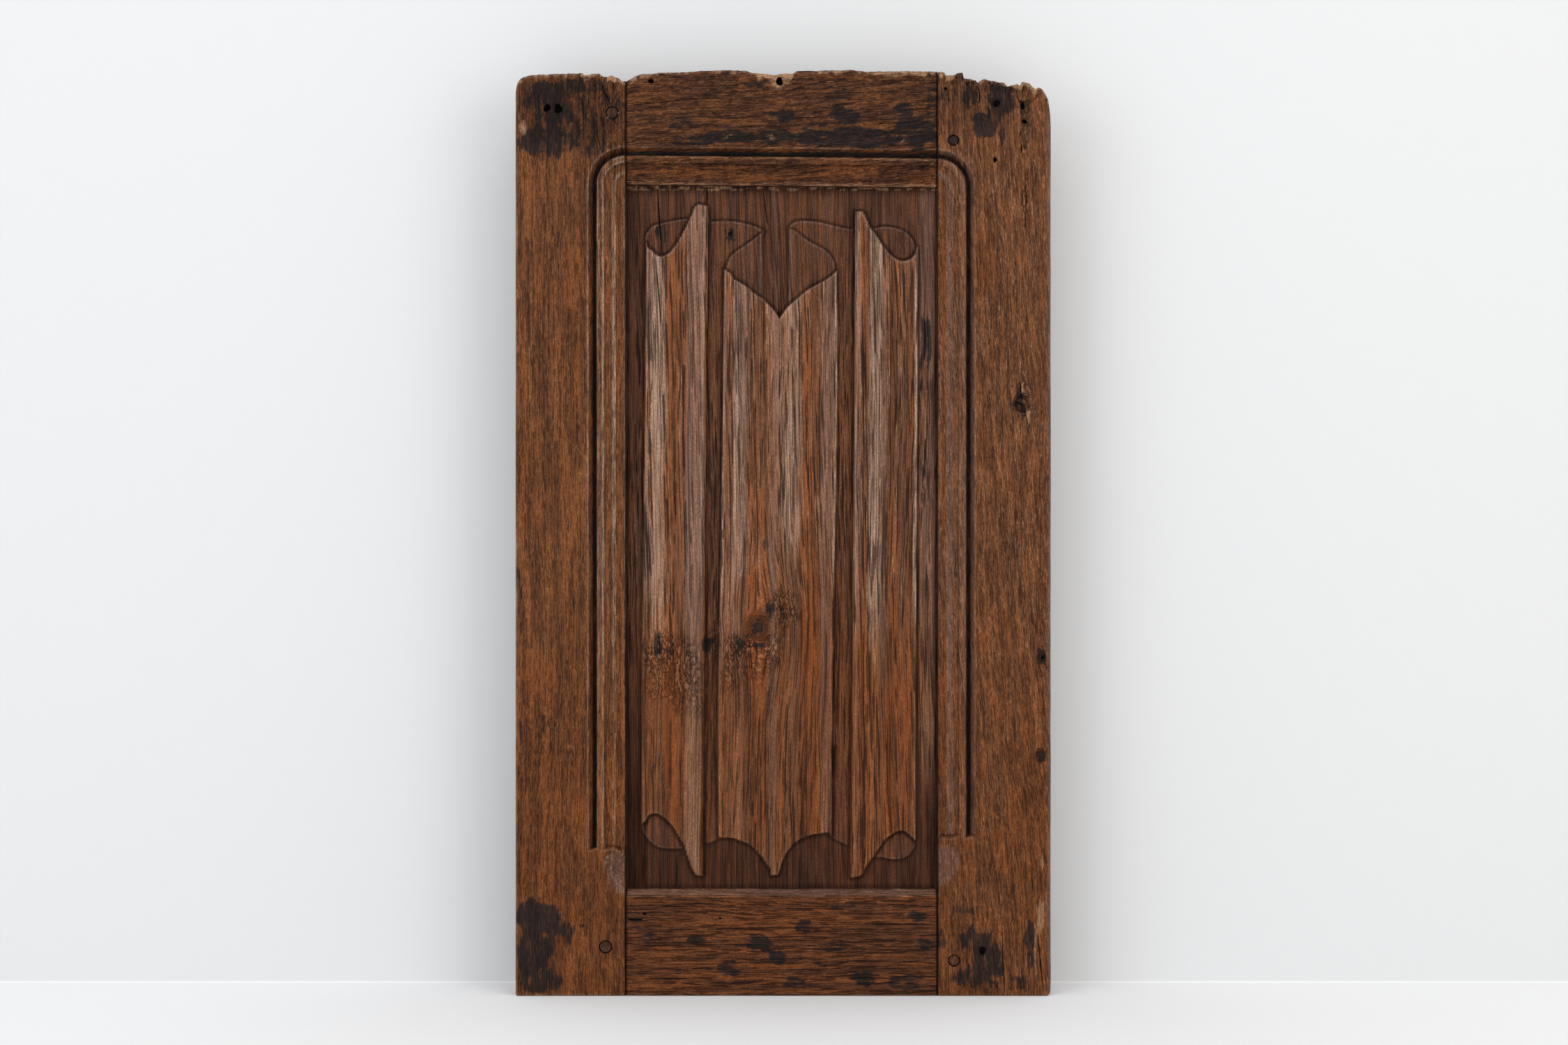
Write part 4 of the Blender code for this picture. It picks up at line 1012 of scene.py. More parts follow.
# Pegs: node, side of the panel, diameter, how dark the end is
PEGS = [
    ("peg_upper_left", -1, 0.0122, 0.35), ("peg_upper_right", 1, 0.0106, 0.9),
    ("peg_lower_left", -1, 0.0127, 0.35), ("peg_lower_right", 1, 0.0116, 0.35),
]


def peg_middle(node):
    """Where a peg goes through the frame."""
    low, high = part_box(node)
    return (low.x + high.x) / 2, (low.z + high.z) / 2


def peg_holes(belongs):
    """Cutters for the peg holes that belong to one stile or one rail."""
    return [dowel(*peg_middle(node), width / 2 + PEG_ROOM, FRONT - PROUD, PROUD, PEG_HOLE_SIDES)
            for node, peg_side, width, _ in PEGS if belongs(node, peg_side)]


def stile_joints(side):
    """What is cut from a stile: two mortises, the groove for the board and the peg holes."""
    inner = OPENING_LEFT if side < 0 else OPENING_RIGHT
    ends = sorted((inner - side * PROUD, inner + side * (TENON_LENGTH + MORTISE_PLAY)))
    half = TENON_THICKNESS / 2 + FIT
    spans = [
        (BOTTOM + TENON_BOTTOM_MARGIN - FIT, OPENING_BOTTOM - TENON_SHOULDER + FIT),
        (OPENING_TOP + TENON_SHOULDER - FIT, TOP - TENON_TOP_MARGIN + FIT),
    ]
    mortises = [block((ends[0], JOINT_MIDDLE - half, low), (ends[1], JOINT_MIDDLE + half, high))
                for low, high in spans]
    ends = sorted((inner - side * PROUD, inner + side * GROOVE_DEPTH))
    groove = block((ends[0], GROOVE_FRONT, OPENING_BOTTOM - TENON_SHOULDER - FIT),
                   (ends[1], GROOVE_BACK, OPENING_TOP + TENON_SHOULDER + FIT))
    return [(mortises, "DIFFERENCE", BARE_FACES), ([groove], "DIFFERENCE", BARE_FACES),
            (peg_holes(lambda name, peg_side: peg_side == side), "DIFFERENCE", CUT_FACES)]


def rail_joints(is_upper):
    """What a rail gets: a tenon at each end, the groove for the board and the peg holes."""
    half = TENON_THICKNESS / 2
    if is_upper:
        low, high = OPENING_TOP + TENON_SHOULDER, TOP - TENON_TOP_MARGIN
        bottom, top = OPENING_TOP - PROUD, OPENING_TOP + GROOVE_DEPTH
    else:
        low, high = BOTTOM + TENON_BOTTOM_MARGIN, OPENING_BOTTOM - TENON_SHOULDER
        bottom, top = OPENING_BOTTOM - GROOVE_DEPTH, OPENING_BOTTOM + PROUD
    tenons = []
    for side, edge in ((-1, OPENING_LEFT), (1, OPENING_RIGHT)):
        ends = sorted((edge - side * TENON_SHOULDER, edge + side * TENON_LENGTH))
        tenons.append(block((ends[0], JOINT_MIDDLE - half, low), (ends[1], JOINT_MIDDLE + half, high)))
    groove = block((OPENING_LEFT - 0.004, GROOVE_FRONT, bottom), (OPENING_RIGHT + 0.004, GROOVE_BACK, top))
    return [(tenons, "UNION", BARE_FACES), ([groove], "DIFFERENCE", BARE_FACES),
            (peg_holes(lambda name, peg_side: ("upper" in name) == is_upper), "DIFFERENCE", CUT_FACES)]


def front_of(relief):
    """The height of a finished front at a place, for cracks and holes."""
    def face(x, z):
        return float(relief.look_up(relief.y, np.array([x]), np.array([z]))[0])
    return face


def torn_edge(x, z, crest, torn, seed):
    """Fresh tan wood where an upper edge has broken away: from, to, strength."""
    strength = np.full(x.shape, 0.10)
    for start, stop, amount in torn:
        first, last = spot(start, 0)[0], spot(stop, 0)[0]
        span = soft_step(x, first - 0.003, first + 0.003)
        span = span * (1 - soft_step(x, last - 0.003, last + 0.003))
        strength = np.maximum(strength, amount * span)
    uneven = rough_noise(x, z, 0.0040, 0.0040, seed)
    reach = 0.0030 + 0.0045 * strength + uneven * 0.0050
    return np.clip((1 - soft_step(crest, reach * 0.2, reach)) * (strength + uneven * 0.8), 0.0, 1.0)


def low_redness(x, z, seed):
    """The lower wood is redder, in large uneven clouds."""
    clouds = rough_noise(x, z, 0.040, 0.120, seed)
    return np.clip(soft_step(-z, -BOTTOM - 0.52, -BOTTOM - 0.12) + clouds * 0.8, 0.0, 1.0)


def moulding_bands(fields, parts, relief, cream_wear_and_sheen, grey_sheen, rusty, seed):
    """Painted sheen and wear along a moulding, down to its stop, and painted shade in its groove."""
    out = parts["round"] / MM
    along_it = soft_step(relief.z, parts["stop"], parts["stop"] + 0.004)
    for key, bands, shift in (("cream_wear_and_sheen", cream_wear_and_sheen, 0), ("grey_sheen", grey_sheen, 1), ("rusty", rusty, 2)):
        strength = banded(out, bands, relief.x, relief.z, 0.35, seed + shift)
        patchy = 0.85 + 0.45 * rough_noise(relief.x, relief.z, 0.008, 0.05, seed + 4 + shift)
        fields[key] = np.clip(strength * patchy * along_it, 0.0, 1.0)
    fields["cream_wear_and_sheen"] *= 0.40 + 0.60 * soft_step(relief.z, BOTTOM + 0.22, BOTTOM + 0.50)
    # Painted shade in the moulding's groove: darker there, and a near-black stripe in its stain.
    dark = np.interp(out, [27.6, 29.0, 32.4, 33.6, 36.6, 37.4], [0.0, 0.9, 0.9, 0.35, 0.2, 0.0])
    add_dirt_and_shade(fields, dark * along_it)
    groove_shade = np.interp(out, [28.6, 29.8, 32.2, 33.2], [0.0, 0.85, 0.85, 0.0])
    fields["stain"] = np.maximum(fields["stain"], groove_shade * along_it)
    fields["worn"] = fields["worn"] * (0.35 + 0.65 * soft_step(parts["out"], 0.001, 0.003))


def make_left_stile():
    """The left stile."""
    corner = rail_edge(OPENING_LEFT)
    columns = spaced(LEFT, OPENING_LEFT, 150, [
        (LEFT, 0.003, 2.0), (OPENING_LEFT - 0.018, 0.020, 1.6), (OPENING_LEFT, 0.002, 3.0),
    ])
    rows = spaced(0.0, 1.0, 330, [
        (1.0, 0.030, 6.0), ((corner + 0.02 - BOTTOM) / 0.9165, 0.032, 4.0),
        ((LEFT_STOP - BOTTOM) / 0.9165, 0.008, 8.0), (0.0, 0.004, 4.0),
    ])
    relief = Relief(
        columns, rows, lambda x: BOTTOM + worn_arris(x - LEFT, 0.0022),
        lambda x: worn_top(x, LEFT, LEFT_STILE_TOP, 3),
    )
    depth, parts = stile_relief(-1, relief)
    x, z = relief.x, relief.z
    rough = patch(x, z, spot(36, 279), 34, 22, seed=5)
    depth = depth + rough * (np.abs(rough_noise(x, z, 0.0035, 0.012, 41)) * 0.0006)
    dent = patch(x, z, spot(51.5, 242), 5, 4, seed=6, ragged=0.1)
    depth = depth + dent * 0.0010 + sunk(x, z, LEFT_STILE_HOLES)
    relief.y = FRONT + np.maximum(depth, SKIN)
    fields = base_fields(relief)
    fields["stain"] = patches(x, z, LEFT_STILE_STAINS, 300)
    moulding_bands(fields, parts, relief, LEFT_WEAR_AND_SHEEN, [(0.0, 0.0), (1.0, 0.0)], LEFT_RUSTY, 141)
    lower = soft_step(inside(x, z, smooth(spots((112, 141), (100, 141.5), (90, 139.5), (87.6, 132),
                                                (91, 124), (93, 116), (97.5, 107.5), (103, 104),
                                                (112, 103)), 2)), -0.0012, 0.0008)
    tattered = torn_edge(x, z, parts["crest"], [(66, 76, 0.9), (90, 100, 1.0), (20, 34, 0.3)], 23)
    fields["pale"] = tattered
    fields["film_and_sheen"] = lower
    fields["ruddy"] = 0.75 * low_redness(x, z, 171)
    charred = patch(x, z, spot(58, 882), 62, 40, seed=12)
    add_dirt_and_shade(fields, 0.38 * charred)
    fields["gnarled"] = 0.45 * lower + 0.45 * charred
    fields["pale"] += patches(x, z, [(7.6, 862, 4, 7, 0.45), (4, 872, 2, 5, 0.3)], 13)
    fields["cream_wear_and_sheen"] += 0.8 * lower * (rough_noise(x, z, 0.0030, 0.0060, 14) > 0.05)
    add_dirt_and_shade(fields, soft_step(-parts["out"], -0.0016, -0.0006))
    make_piece("left_stile", "stile_left", relief, fields, upright_grain(-0.004, [], 61),
               straight_back(FRONT + 0.006), STILE_OAK, stile_joints(-1), LEFT_STILE_CRACKS,
               LEFT_STILE_HOLES)


def make_right_stile():
    """The right stile, with its decayed channel near the top."""
    corner = rail_edge(OPENING_RIGHT)
    columns = spaced(OPENING_RIGHT, RIGHT, 155, [
        (RIGHT, 0.005, 1.6), (OPENING_RIGHT + 0.018, 0.020, 1.6), (OPENING_RIGHT, 0.002, 3.0),
    ])
    rows = spaced(0.0, 1.0, 340, [
        (1.0, 0.034, 6.0), ((corner + 0.02 - BOTTOM) / 0.909, 0.034, 4.0),
        ((RIGHT_STOP - BOTTOM) / 0.909, 0.008, 8.0), (0.0, 0.004, 4.0),
        ((spot(0, 592)[1] - BOTTOM) / 0.909, 0.016, 3.0),
    ])
    relief = Relief(
        columns, rows, lambda x: BOTTOM + worn_arris(RIGHT - x, 0.0055),
        lambda x: worn_top(x, OPENING_RIGHT, RIGHT_STILE_TOP, 4),
    )
    depth, parts = stile_relief(1, relief)
    x, z = relief.x, relief.z
    channel = soft_step(inside(x, z, spots((500.5, 889), (502, 872), (503.0, 850), (506, 839),
                                           (509.5, 848), (510.5, 870), (510.0, 890))),
                        -0.0012, 0.0018)
    depth = depth + channel * (0.0022 + rough_noise(x, z, 0.004, 0.005, 43) * 0.0016)
    knot = patch(x, z, spot(503, 588), 9, 16, seed=15)
    depth = depth + knot * np.abs(rough_noise(x, z, 0.0026, 0.0060, 46)) * 0.0022
    depth = depth + sunk(x, z, RIGHT_STILE_HOLES)
    decayed = soft_step(-parts["crest"], -0.014, -0.002)
    depth = depth + decayed * np.maximum(rough_noise(x, z, 0.0035, 0.006, 45), -0.2) * 0.0022
    relief.y = FRONT + np.maximum(depth, SKIN)
    fields = base_fields(relief)
    fields["stain"] = patches(x, z, RIGHT_STILE_STAINS, 340)
    moulding_bands(fields, parts, relief, RIGHT_WEAR_AND_SHEEN, RIGHT_GREY_SHEEN, RIGHT_RUSTY, 151)
    lower = soft_step(inside(x, z, smooth(spots((414, 150), (428, 149.5), (436, 146), (440.6, 139),
                                                (440, 130), (436, 122), (430, 115), (424, 110),
                                                (414, 105)), 2)), -0.0010, 0.0006)
    specks = patches(x, z, [(521, 78, 4, 17, 0.5), (522.5, 133, 2, 7, 0.4), (509, 576, 2.2, 9, 0.45),
                            (503, 604, 2, 6, 0.35), (516, 43, 1.6, 30, 0.3)], 22)
    tattered = torn_edge(x, z, parts["crest"], [(420, 436, 0.9), (458, 474, 0.35), (494, 520, 0.9)], 24)
    fields["pale"] = tattered
    fields["pale"] += channel * 0.15 + specks
    arris = soft_step(x + rough_noise(x, z, 0.004, 0.02, 47) * 0.003, RIGHT - 0.0050, RIGHT - 0.0022)
    # Film on the lower part and along the arris, with the painted cool sheen carried into the film colour.
    fields["film_and_sheen"] = np.maximum(np.maximum(lower, 0.75 * arris), 0.7 * fields["grey_sheen"])
    fields["ruddy"] = 0.95 * low_redness(x, z, 172)
    frayed = patches(x, z, [(506, 790, 4, 34, 0.7), (503, 846, 5, 14, 0.6), (503, 597, 5, 16, 0.7)], 49)
    fields["gnarled"] = np.clip(0.7 * decayed + 0.6 * knot + channel + frayed, 0.0, 1.0)
    joint = soft_step(-parts["out"], -0.0016, -0.0006)
    charred = patch(x, z, spot(452, 884), 52, 30, seed=48)
    add_dirt_and_shade(fields, channel * 0.75 + joint + 0.30 * charred)
    knots = [(spot(502.5, 588), 0.006, 0.024), (spot(522, 336), 0.004, 0.014),
             (spot(521, 238), 0.004, 0.014)]
    make_piece("right_stile", "stile_right", relief, fields,
               upright_grain(-0.065, knots, 62), straight_back(FRONT + 0.009), RIGHT_STILE_OAK,
               stile_joints(1), RIGHT_STILE_CRACKS, RIGHT_STILE_HOLES)


# Rails

def make_top_rail():
    """The top rail, with strong ridged grain and the moulded lower edge."""
    columns = spaced(OPENING_LEFT + FIT, OPENING_RIGHT - FIT, 200, [
        (OPENING_LEFT, 0.003, 4.0), (OPENING_RIGHT, 0.003, 4.0),
    ])
    rows = spaced(0.0, 1.0, 235, [(0.16, 0.17, 0.9), (1.0, 0.05, 1.5), (0.0, 0.01, 2.0)])
    relief = Relief(
        columns, rows, rail_edge, lambda x: worn_top(x, OPENING_LEFT, TOP_RAIL_TOP, 5),
    )
    x, z = relief.x, relief.z
    out = z - relief.low
    uneven = soft_noise(x, z, 0.070, 0.011, 71) * 0.0003
    depth = moulding_depth(out + uneven)
    gap = 0.0016 + 0.0022 * soft_step(z, TOP - 0.040, TOP) * (x < 0)
    depth = depth + worn_arris(from_ends(x), gap)
    broken = rough_noise(x, z, 0.008, 0.004, 73) * 0.0012
    depth = depth + worn_arris(np.maximum(relief.high - z + broken, 0.0), 0.0034)
    depth = depth + worn_arris(out, 0.0008)
    slanted = z - 0.070 * x
    ridges = rough_noise(slanted, x, 0.0019, 0.026, 75) * 0.00030
    flat = soft_step(out, MOULDING_WIDTH * 0.95, MOULDING_WIDTH * 1.05)
    swell = rough_noise(x, z, 0.12, 0.020, 77) * 0.0005
    depth = depth + (ridges + swell) * (0.35 + 0.65 * flat) + 0.0006 + sunk(x, z, TOP_RAIL_HOLES)
    relief.y = FRONT + np.maximum(depth, SKIN)
    fields = base_fields(relief)
    fields["stain"] = patches(x, z, TOP_RAIL_STAINS, 380)
    torn = [(112, 136, 0.5), (238, 275, 0.9), (356, 418, 0.8), (300, 330, 0.3)]
    fields["pale"] = torn_edge(x, z, relief.high - z, torn, 25)
    ring = patch(x, z, spot(262, 908), 9, 6, seed=26)
    fields["pale"] = np.maximum(fields["pale"], 0.42 * ring)
    fields["pale"] += patches(x, z, TOP_RAIL_SPECKS, 27) * (rough_noise(x, z, 0.004, 0.003, 28) > 0)
    # Painted shade in the moulding's groove as a near-black stripe, and painted highlight with wear along
    # the moulding.
    groove_shade = np.interp(out / MM, [28.4, 29.8, 32.6, 34.5], [0.0, 0.8, 0.8, 0.0])
    fields["stain"] = np.maximum(fields["stain"], groove_shade)
    fields["cream_wear_and_sheen"] = banded(out / MM, RAIL_WEAR_AND_SHEEN, z, x, 0.35, 177)
    fields["ruddy"] = 0.5 * (1 - flat)
    add_dirt_and_shade(fields, soft_step(-from_ends(x), -0.0026, -0.0012))
    make_piece("top_rail", "rail_top", relief, fields, level_grain(0.070, 63),
               straight_back(FRONT + 0.007), RAIL_OAK, rail_joints(True), TOP_RAIL_CRACKS,
               TOP_RAIL_HOLES)


def make_bottom_rail():
    """The bottom rail, with its dusty sloping upper edge."""
    columns = spaced(OPENING_LEFT + FIT, OPENING_RIGHT - FIT, 200, [
        (OPENING_LEFT, 0.003, 4.0), (OPENING_RIGHT, 0.003, 4.0),
    ])
    rows = spaced(0.0, 1.0, 225, [(1.0, 0.09, 2.0), (0.0, 0.02, 1.0)])
    relief = Relief(
        columns, rows, lambda x: np.full_like(x, BOTTOM),
        lambda x: np.full_like(x, OPENING_BOTTOM),
    )
    x, z = relief.x, relief.z
    under = OPENING_BOTTOM - z
    chipped = rough_noise(x, z, 0.018, 0.004, 81) * 0.0007
    slope = np.clip(1 - (under + chipped) / SILL_SLOPE_HEIGHT, 0.0, 1.0)
    depth = slope * SILL_SLOPE_DEPTH
    depth = depth + worn_arris(from_ends(x), 0.0016)
    depth = depth + worn_arris(z - BOTTOM, 0.0016)
    ridges = rough_noise(z - 0.004 * x, x, 0.0021, 0.040, 83) * 0.00026
    swell = rough_noise(x, z, 0.12, 0.022, 85) * 0.0005
    depth = depth + (ridges + swell + 0.0006) * (1 - slope)
    relief.y = FRONT + np.maximum(depth, SKIN)
    fields = base_fields(relief)
    fields["stain"] = patches(x, z, BOTTOM_RAIL_STAINS, 420)
    dusty = soft_step(slope, 0.02, 0.25)
    fields["pale"] = dusty * (0.05 + 0.08 * rough_noise(x, z, 0.01, 0.003, 87))
    fields["film_and_sheen"] = dusty * (0.9 + 0.4 * rough_noise(x, z, 0.012, 0.003, 88))
    fields["cream_wear_and_sheen"] = dusty * 0.35
    fields["calm"] = dusty * 0.8
    fields["ruddy"] = 0.45 * (1 - dusty)
    add_dirt_and_shade(fields, soft_step(-from_ends(x), -0.0026, -0.0012))
    make_piece("bottom_rail", "rail_bottom", relief, fields, level_grain(0.004, 64),
               straight_back(-0.0218), SILL_OAK, rail_joints(False), BOTTOM_RAIL_CRACKS,
               BOTTOM_RAIL_HOLES)


# Board

def from_left(x, z):
    """Millimetres from the opening's left, with the lean of the folds taken out."""
    middle = (OPENING_TOP + OPENING_BOTTOM) / 2
    return (x - FOLD_LEAN * (z - middle) / OPENING_HEIGHT - OPENING_LEFT) / MM


def from_top(points):
    """Places of the carving in millimetres from the opening's left and top edges."""
    return [(OPENING_LEFT + x * MM, OPENING_TOP - down * MM) for x, down in points]


def from_bottom(points):
    """Places of the carving in millimetres from the opening's left and bottom edges."""
    return [(OPENING_LEFT + x * MM, OPENING_BOTTOM + up * MM) for x, up in points]


SIDE_SECTION = [
    (0.00, 4.5), (0.02, 4.9), (0.05, 4.6), (0.09, 5.2), (0.15, 6.0), (0.21, 6.2), (0.30, 5.6),
    (0.42, 4.5), (0.52, 4.0), (0.62, 4.1), (0.70, 4.7), (0.80, 6.2), (0.88, 7.8), (0.92, 8.7),
    (0.94, 8.9), (0.955, 8.2), (0.98, 5.0), (1.00, 2.4),
]
CENTRE_SECTION = [
    (0.000, 4.5), (0.012, 4.9), (0.030, 4.6), (0.055, 5.5), (0.085, 6.1), (0.120, 6.2),
    (0.180, 5.3), (0.240, 4.4), (0.300, 4.0), (0.360, 4.2), (0.410, 5.1), (0.450, 6.5),
    (0.480, 8.1), (0.500, 8.9),
]


def section_height(share, section):
    """Height of a fold at a share of its width."""
    across, height = zip(*smooth(section, 3))
    return np.interp(share, across, height) * MM


def carve_board(x, z):
    """Height of the carving above the ground, and which cloth is on top."""
    across = from_left(x, z)
    step = 0.0009

    left_cloth = [
        *smooth(from_top([(20.0, 64.0), (19.4, 50.0), (26.3, 39.8), (35.0, 36.8), (44.3, 34.6),
                          (54.0, 33.0), (63.7, 32.2), (78.2, 35.6), (88.0, 34.7), (100.3, 34.3),
                          (111.0, 35.2), (119.7, 36.9), (129.0, 39.8), (138.1, 44.6)])),
        *from_top([(135.3, 49.8), (135.3, 116.0)]), *from_bottom([(118.0, 62.0)]),
        *smooth(from_bottom([(93.4, 50.5), (85.0, 46.0), (76.8, 44.3), (58.5, 40.0),
                             (50.0, 39.5), (41.5, 39.4), (32.1, 41.0), (24.9, 46.0),
                             (19.0, 52.5), (16.0, 60.0), (15.0, 70.0)])),
    ]
    right_cloth = [
        *from_top([(162.3, 118.0), (162.3, 40.8)]),
        *smooth(from_top([(162.3, 40.8), (166.0, 36.6), (172.5, 34.1), (182.7, 34.3),
                          (193.8, 35.6), (205.0, 38.4), (216.0, 41.0), (230.4, 42.9),
                          (244.3, 42.2), (257.4, 39.9), (267.8, 41.2), (276.1, 44.0),
                          (282.0, 48.5), (286.5, 55.0), (289.4, 66.0)])),
        *smooth(from_bottom([(287.5, 60.0), (287.8, 47.1), (287.0, 40.0), (281.0, 32.5),
                             (273.0, 29.1), (263.0, 29.1), (255.0, 31.0), (247.7, 31.8),
                             (224.9, 41.5), (214.0, 46.0), (204.0, 52.0), (198.0, 56.0)])),
        *from_bottom([(180.0, 62.0)]),
    ]
    left_second = [
        *smooth(from_top([(99.0, 92.0), (99.4, 82.0), (101.5, 76.0), (104.5, 69.5),
                          (110.0, 64.4), (120.4, 57.5), (130.8, 49.8), (135.3, 46.0)])),
        *from_top([(135.3, 116.0), (120.0, 108.0), (106.0, 98.0)]),
    ]
    right_second = [
        *smooth(from_top([(163.0, 42.9), (167.5, 43.4), (175.1, 49.1), (182.7, 54.7),
                          (191.7, 59.5), (198.0, 63.2), (203.5, 68.5), (207.6, 77.0),
                          (209.0, 92.0)])),
        *from_top([(200.0, 100.0), (182.0, 110.0), (163.0, 122.0)]),
    ]
    left_fold = [
        *smooth(from_top([(20.0, 56.0), (22.0, 60.6), (25.4, 63.4), (31.2, 68.5), (36.0, 69.5),
                          (41.5, 67.1), (46.4, 62.3), (51.2, 55.4), (55.4, 47.7), (59.5, 40.1),
                          (62.3, 34.6), (65.7, 27.7), (68.5, 21.1), (71.7, 17.7)])),
        *from_top([(81.0, 19.4), (82.3, 34.0)]),
        *from_bottom([(76.9, 30.0), (76.4, 12.5), (70.3, 12.8)]),
        *smooth(from_bottom([(70.3, 12.8), (67.8, 16.6), (64.4, 23.5), (61.6, 31.8), (58.6, 41.0),
                             (55.4, 47.1), (51.2, 54.0), (46.4, 61.6), (40.1, 68.5), (33.9, 73.0),
                             (29.1, 74.7), (22.8, 72.7), (19.4, 66.4), (15.5, 64.4)])),
        (OPENING_LEFT + 15.5 * MM, OPENING_BOTTOM + 0.20),
        (OPENING_LEFT + 19.0 * MM, OPENING_TOP - 0.20),
    ]
    right_fold = [
        *from_top([(228.0, 28.0), (228.4, 25.0), (235.3, 24.9)]),
        *smooth(from_top([(235.3, 24.9), (237.4, 28.0), (240.1, 33.2), (242.3, 38.0), (244.3, 42.2),
                          (249.8, 49.1), (255.4, 57.8), (260.9, 64.4), (266.4, 69.9), (272.0, 73.4),
                          (277.5, 74.1), (283.0, 72.0), (287.2, 67.9), (290.5, 60.0)])),
        (OPENING_LEFT + 290.5 * MM, OPENING_TOP - 0.20),
        (OPENING_LEFT + 289.0 * MM, OPENING_BOTTOM + 0.20),
        *smooth(from_bottom([(288.5, 47.0), (283.0, 52.6), (278.2, 56.4), (274.0, 57.4),
                             (268.5, 56.0), (264.4, 53.3), (259.5, 49.8), (255.4, 44.3),
                             (251.2, 38.8), (247.0, 32.5), (243.2, 27.7), (238.7, 20.8),
                             (235.3, 15.2), (233.2, 12.4)])),
        *from_bottom([(224.0, 10.4), (222.9, 12.0)]),
    ]
    centre_fold = [
        *smooth(from_top([(98.0, 82.0), (103.1, 85.8), (107.3, 91.7), (113.5, 95.5),
                          (119.7, 99.3), (126.6, 105.2), (134.9, 110.7), (142.6, 118.3),
                          (148.0, 124.0), (152.9, 131.5)])),
        *smooth(from_top([(152.9, 131.5), (158.5, 123.2), (164.7, 116.3), (171.6, 110.7),
                          (179.2, 104.1), (188.2, 98.6), (196.9, 94.1), (202.8, 90.0),
                          (210.0, 84.0)])),
        (OPENING_LEFT + 211.0 * MM, OPENING_TOP - 0.20),
        (OPENING_LEFT + 206.0 * MM, OPENING_BOTTOM + 0.20),
        *smooth(from_bottom([(205.0, 53.0), (201.4, 55.4), (192.4, 54.7), (184.8, 53.3),
                             (177.2, 50.5), (170.2, 47.1), (164.7, 41.9), (160.5, 36.3),
                             (156.0, 28.4), (153.6, 20.1), (151.6, 13.2)])),
        *smooth(from_bottom([(144.6, 13.2), (143.9, 19.4), (140.5, 23.5), (135.6, 31.1),
                             (130.8, 36.7), (124.6, 42.2), (118.3, 45.7), (112.1, 48.1),
                             (106.1, 50.2), (100.3, 50.5), (92.0, 50.5)])),
        (OPENING_LEFT + 91.5 * MM, OPENING_BOTTOM + 0.20),
        (OPENING_LEFT + 96.5 * MM, OPENING_TOP - 0.20),
    ]

    height = soft_noise(x, z, 0.018, 0.030, 91) * 0.00015
    # Rims are thin bands just inside each outline, raised a little and later painted as highlight; under
    # marks thin bands just outside, later painted as a shadow line.
    rims = np.zeros(x.shape)
    under = np.zeros(x.shape)
    cloth = np.zeros(x.shape)
    for outline in (left_cloth, right_cloth):
        depth_in = inside(x, z, outline)
        cloth = np.maximum(cloth, soft_step(depth_in, -step, step))
        rims = np.maximum(rims, np.exp(-((depth_in - 0.0008) / 0.0009) ** 2))
        under = np.maximum(under, np.exp(-((depth_in + 0.0014) / 0.0011) ** 2))
    height = height + cloth * CLOTH_HEIGHT
    folds = {
        "left": (left_fold, (across - 18.7) / 60.2, SIDE_SECTION),
        "right": (right_fold, (287.3 - across) / 61.7, SIDE_SECTION),
        "centre": (centre_fold, np.minimum(across - 95.5, 206.2 - across) / 110.7, CENTRE_SECTION),
    }
    limit = np.interp(z, [OPENING_BOTTOM, OPENING_BOTTOM + SPIKE_FALL, OPENING_TOP - SPIKE_FALL,
                          OPENING_TOP], [SPIKE_HEIGHT, 0.009, 0.009, SPIKE_HEIGHT])
    for outline in (left_second, right_second):
        depth_in = inside(x, z, outline)
        second = soft_step(depth_in, -step, step)
        height = np.maximum(height, second * SECOND_FOLD_HEIGHT)
        rims = np.maximum(rims, np.exp(-((depth_in - 0.0008) / 0.0009) ** 2))
        under = np.maximum(under, np.exp(-((depth_in + 0.0014) / 0.0011) ** 2) * (depth_in < 0))
    fold_edge = np.full(x.shape, -1.0)
    for outline, _, _ in folds.values():
        fold_edge = np.maximum(fold_edge, inside(x, z, outline))
    uncovered = 1 - soft_step(fold_edge, -0.0010, 0.0)
    height = height + rims * uncovered * 0.0005
    for outline, share, section in folds.values():
        depth_in = inside(x, z, outline)
        body = np.minimum(section_height(share, section), limit)
        height = np.maximum(height, body * soft_step(depth_in, -step, step))
    near = soft_step(fold_edge, -0.012, -0.0008) * (fold_edge < 0.0005)
    height = height - near * cloth * 0.0010
    ends = np.minimum(z - OPENING_BOTTOM, OPENING_TOP - z)
    near_end = soft_step(-ends, -0.150, -0.120)
    rims = rims * uncovered + np.exp(-((fold_edge - 0.0008) / 0.0009) ** 2) * near_end
    under = under * uncovered + np.exp(-((fold_edge + 0.0014) / 0.0013) ** 2) * near_end
    return height, fold_edge, rims, under, cloth


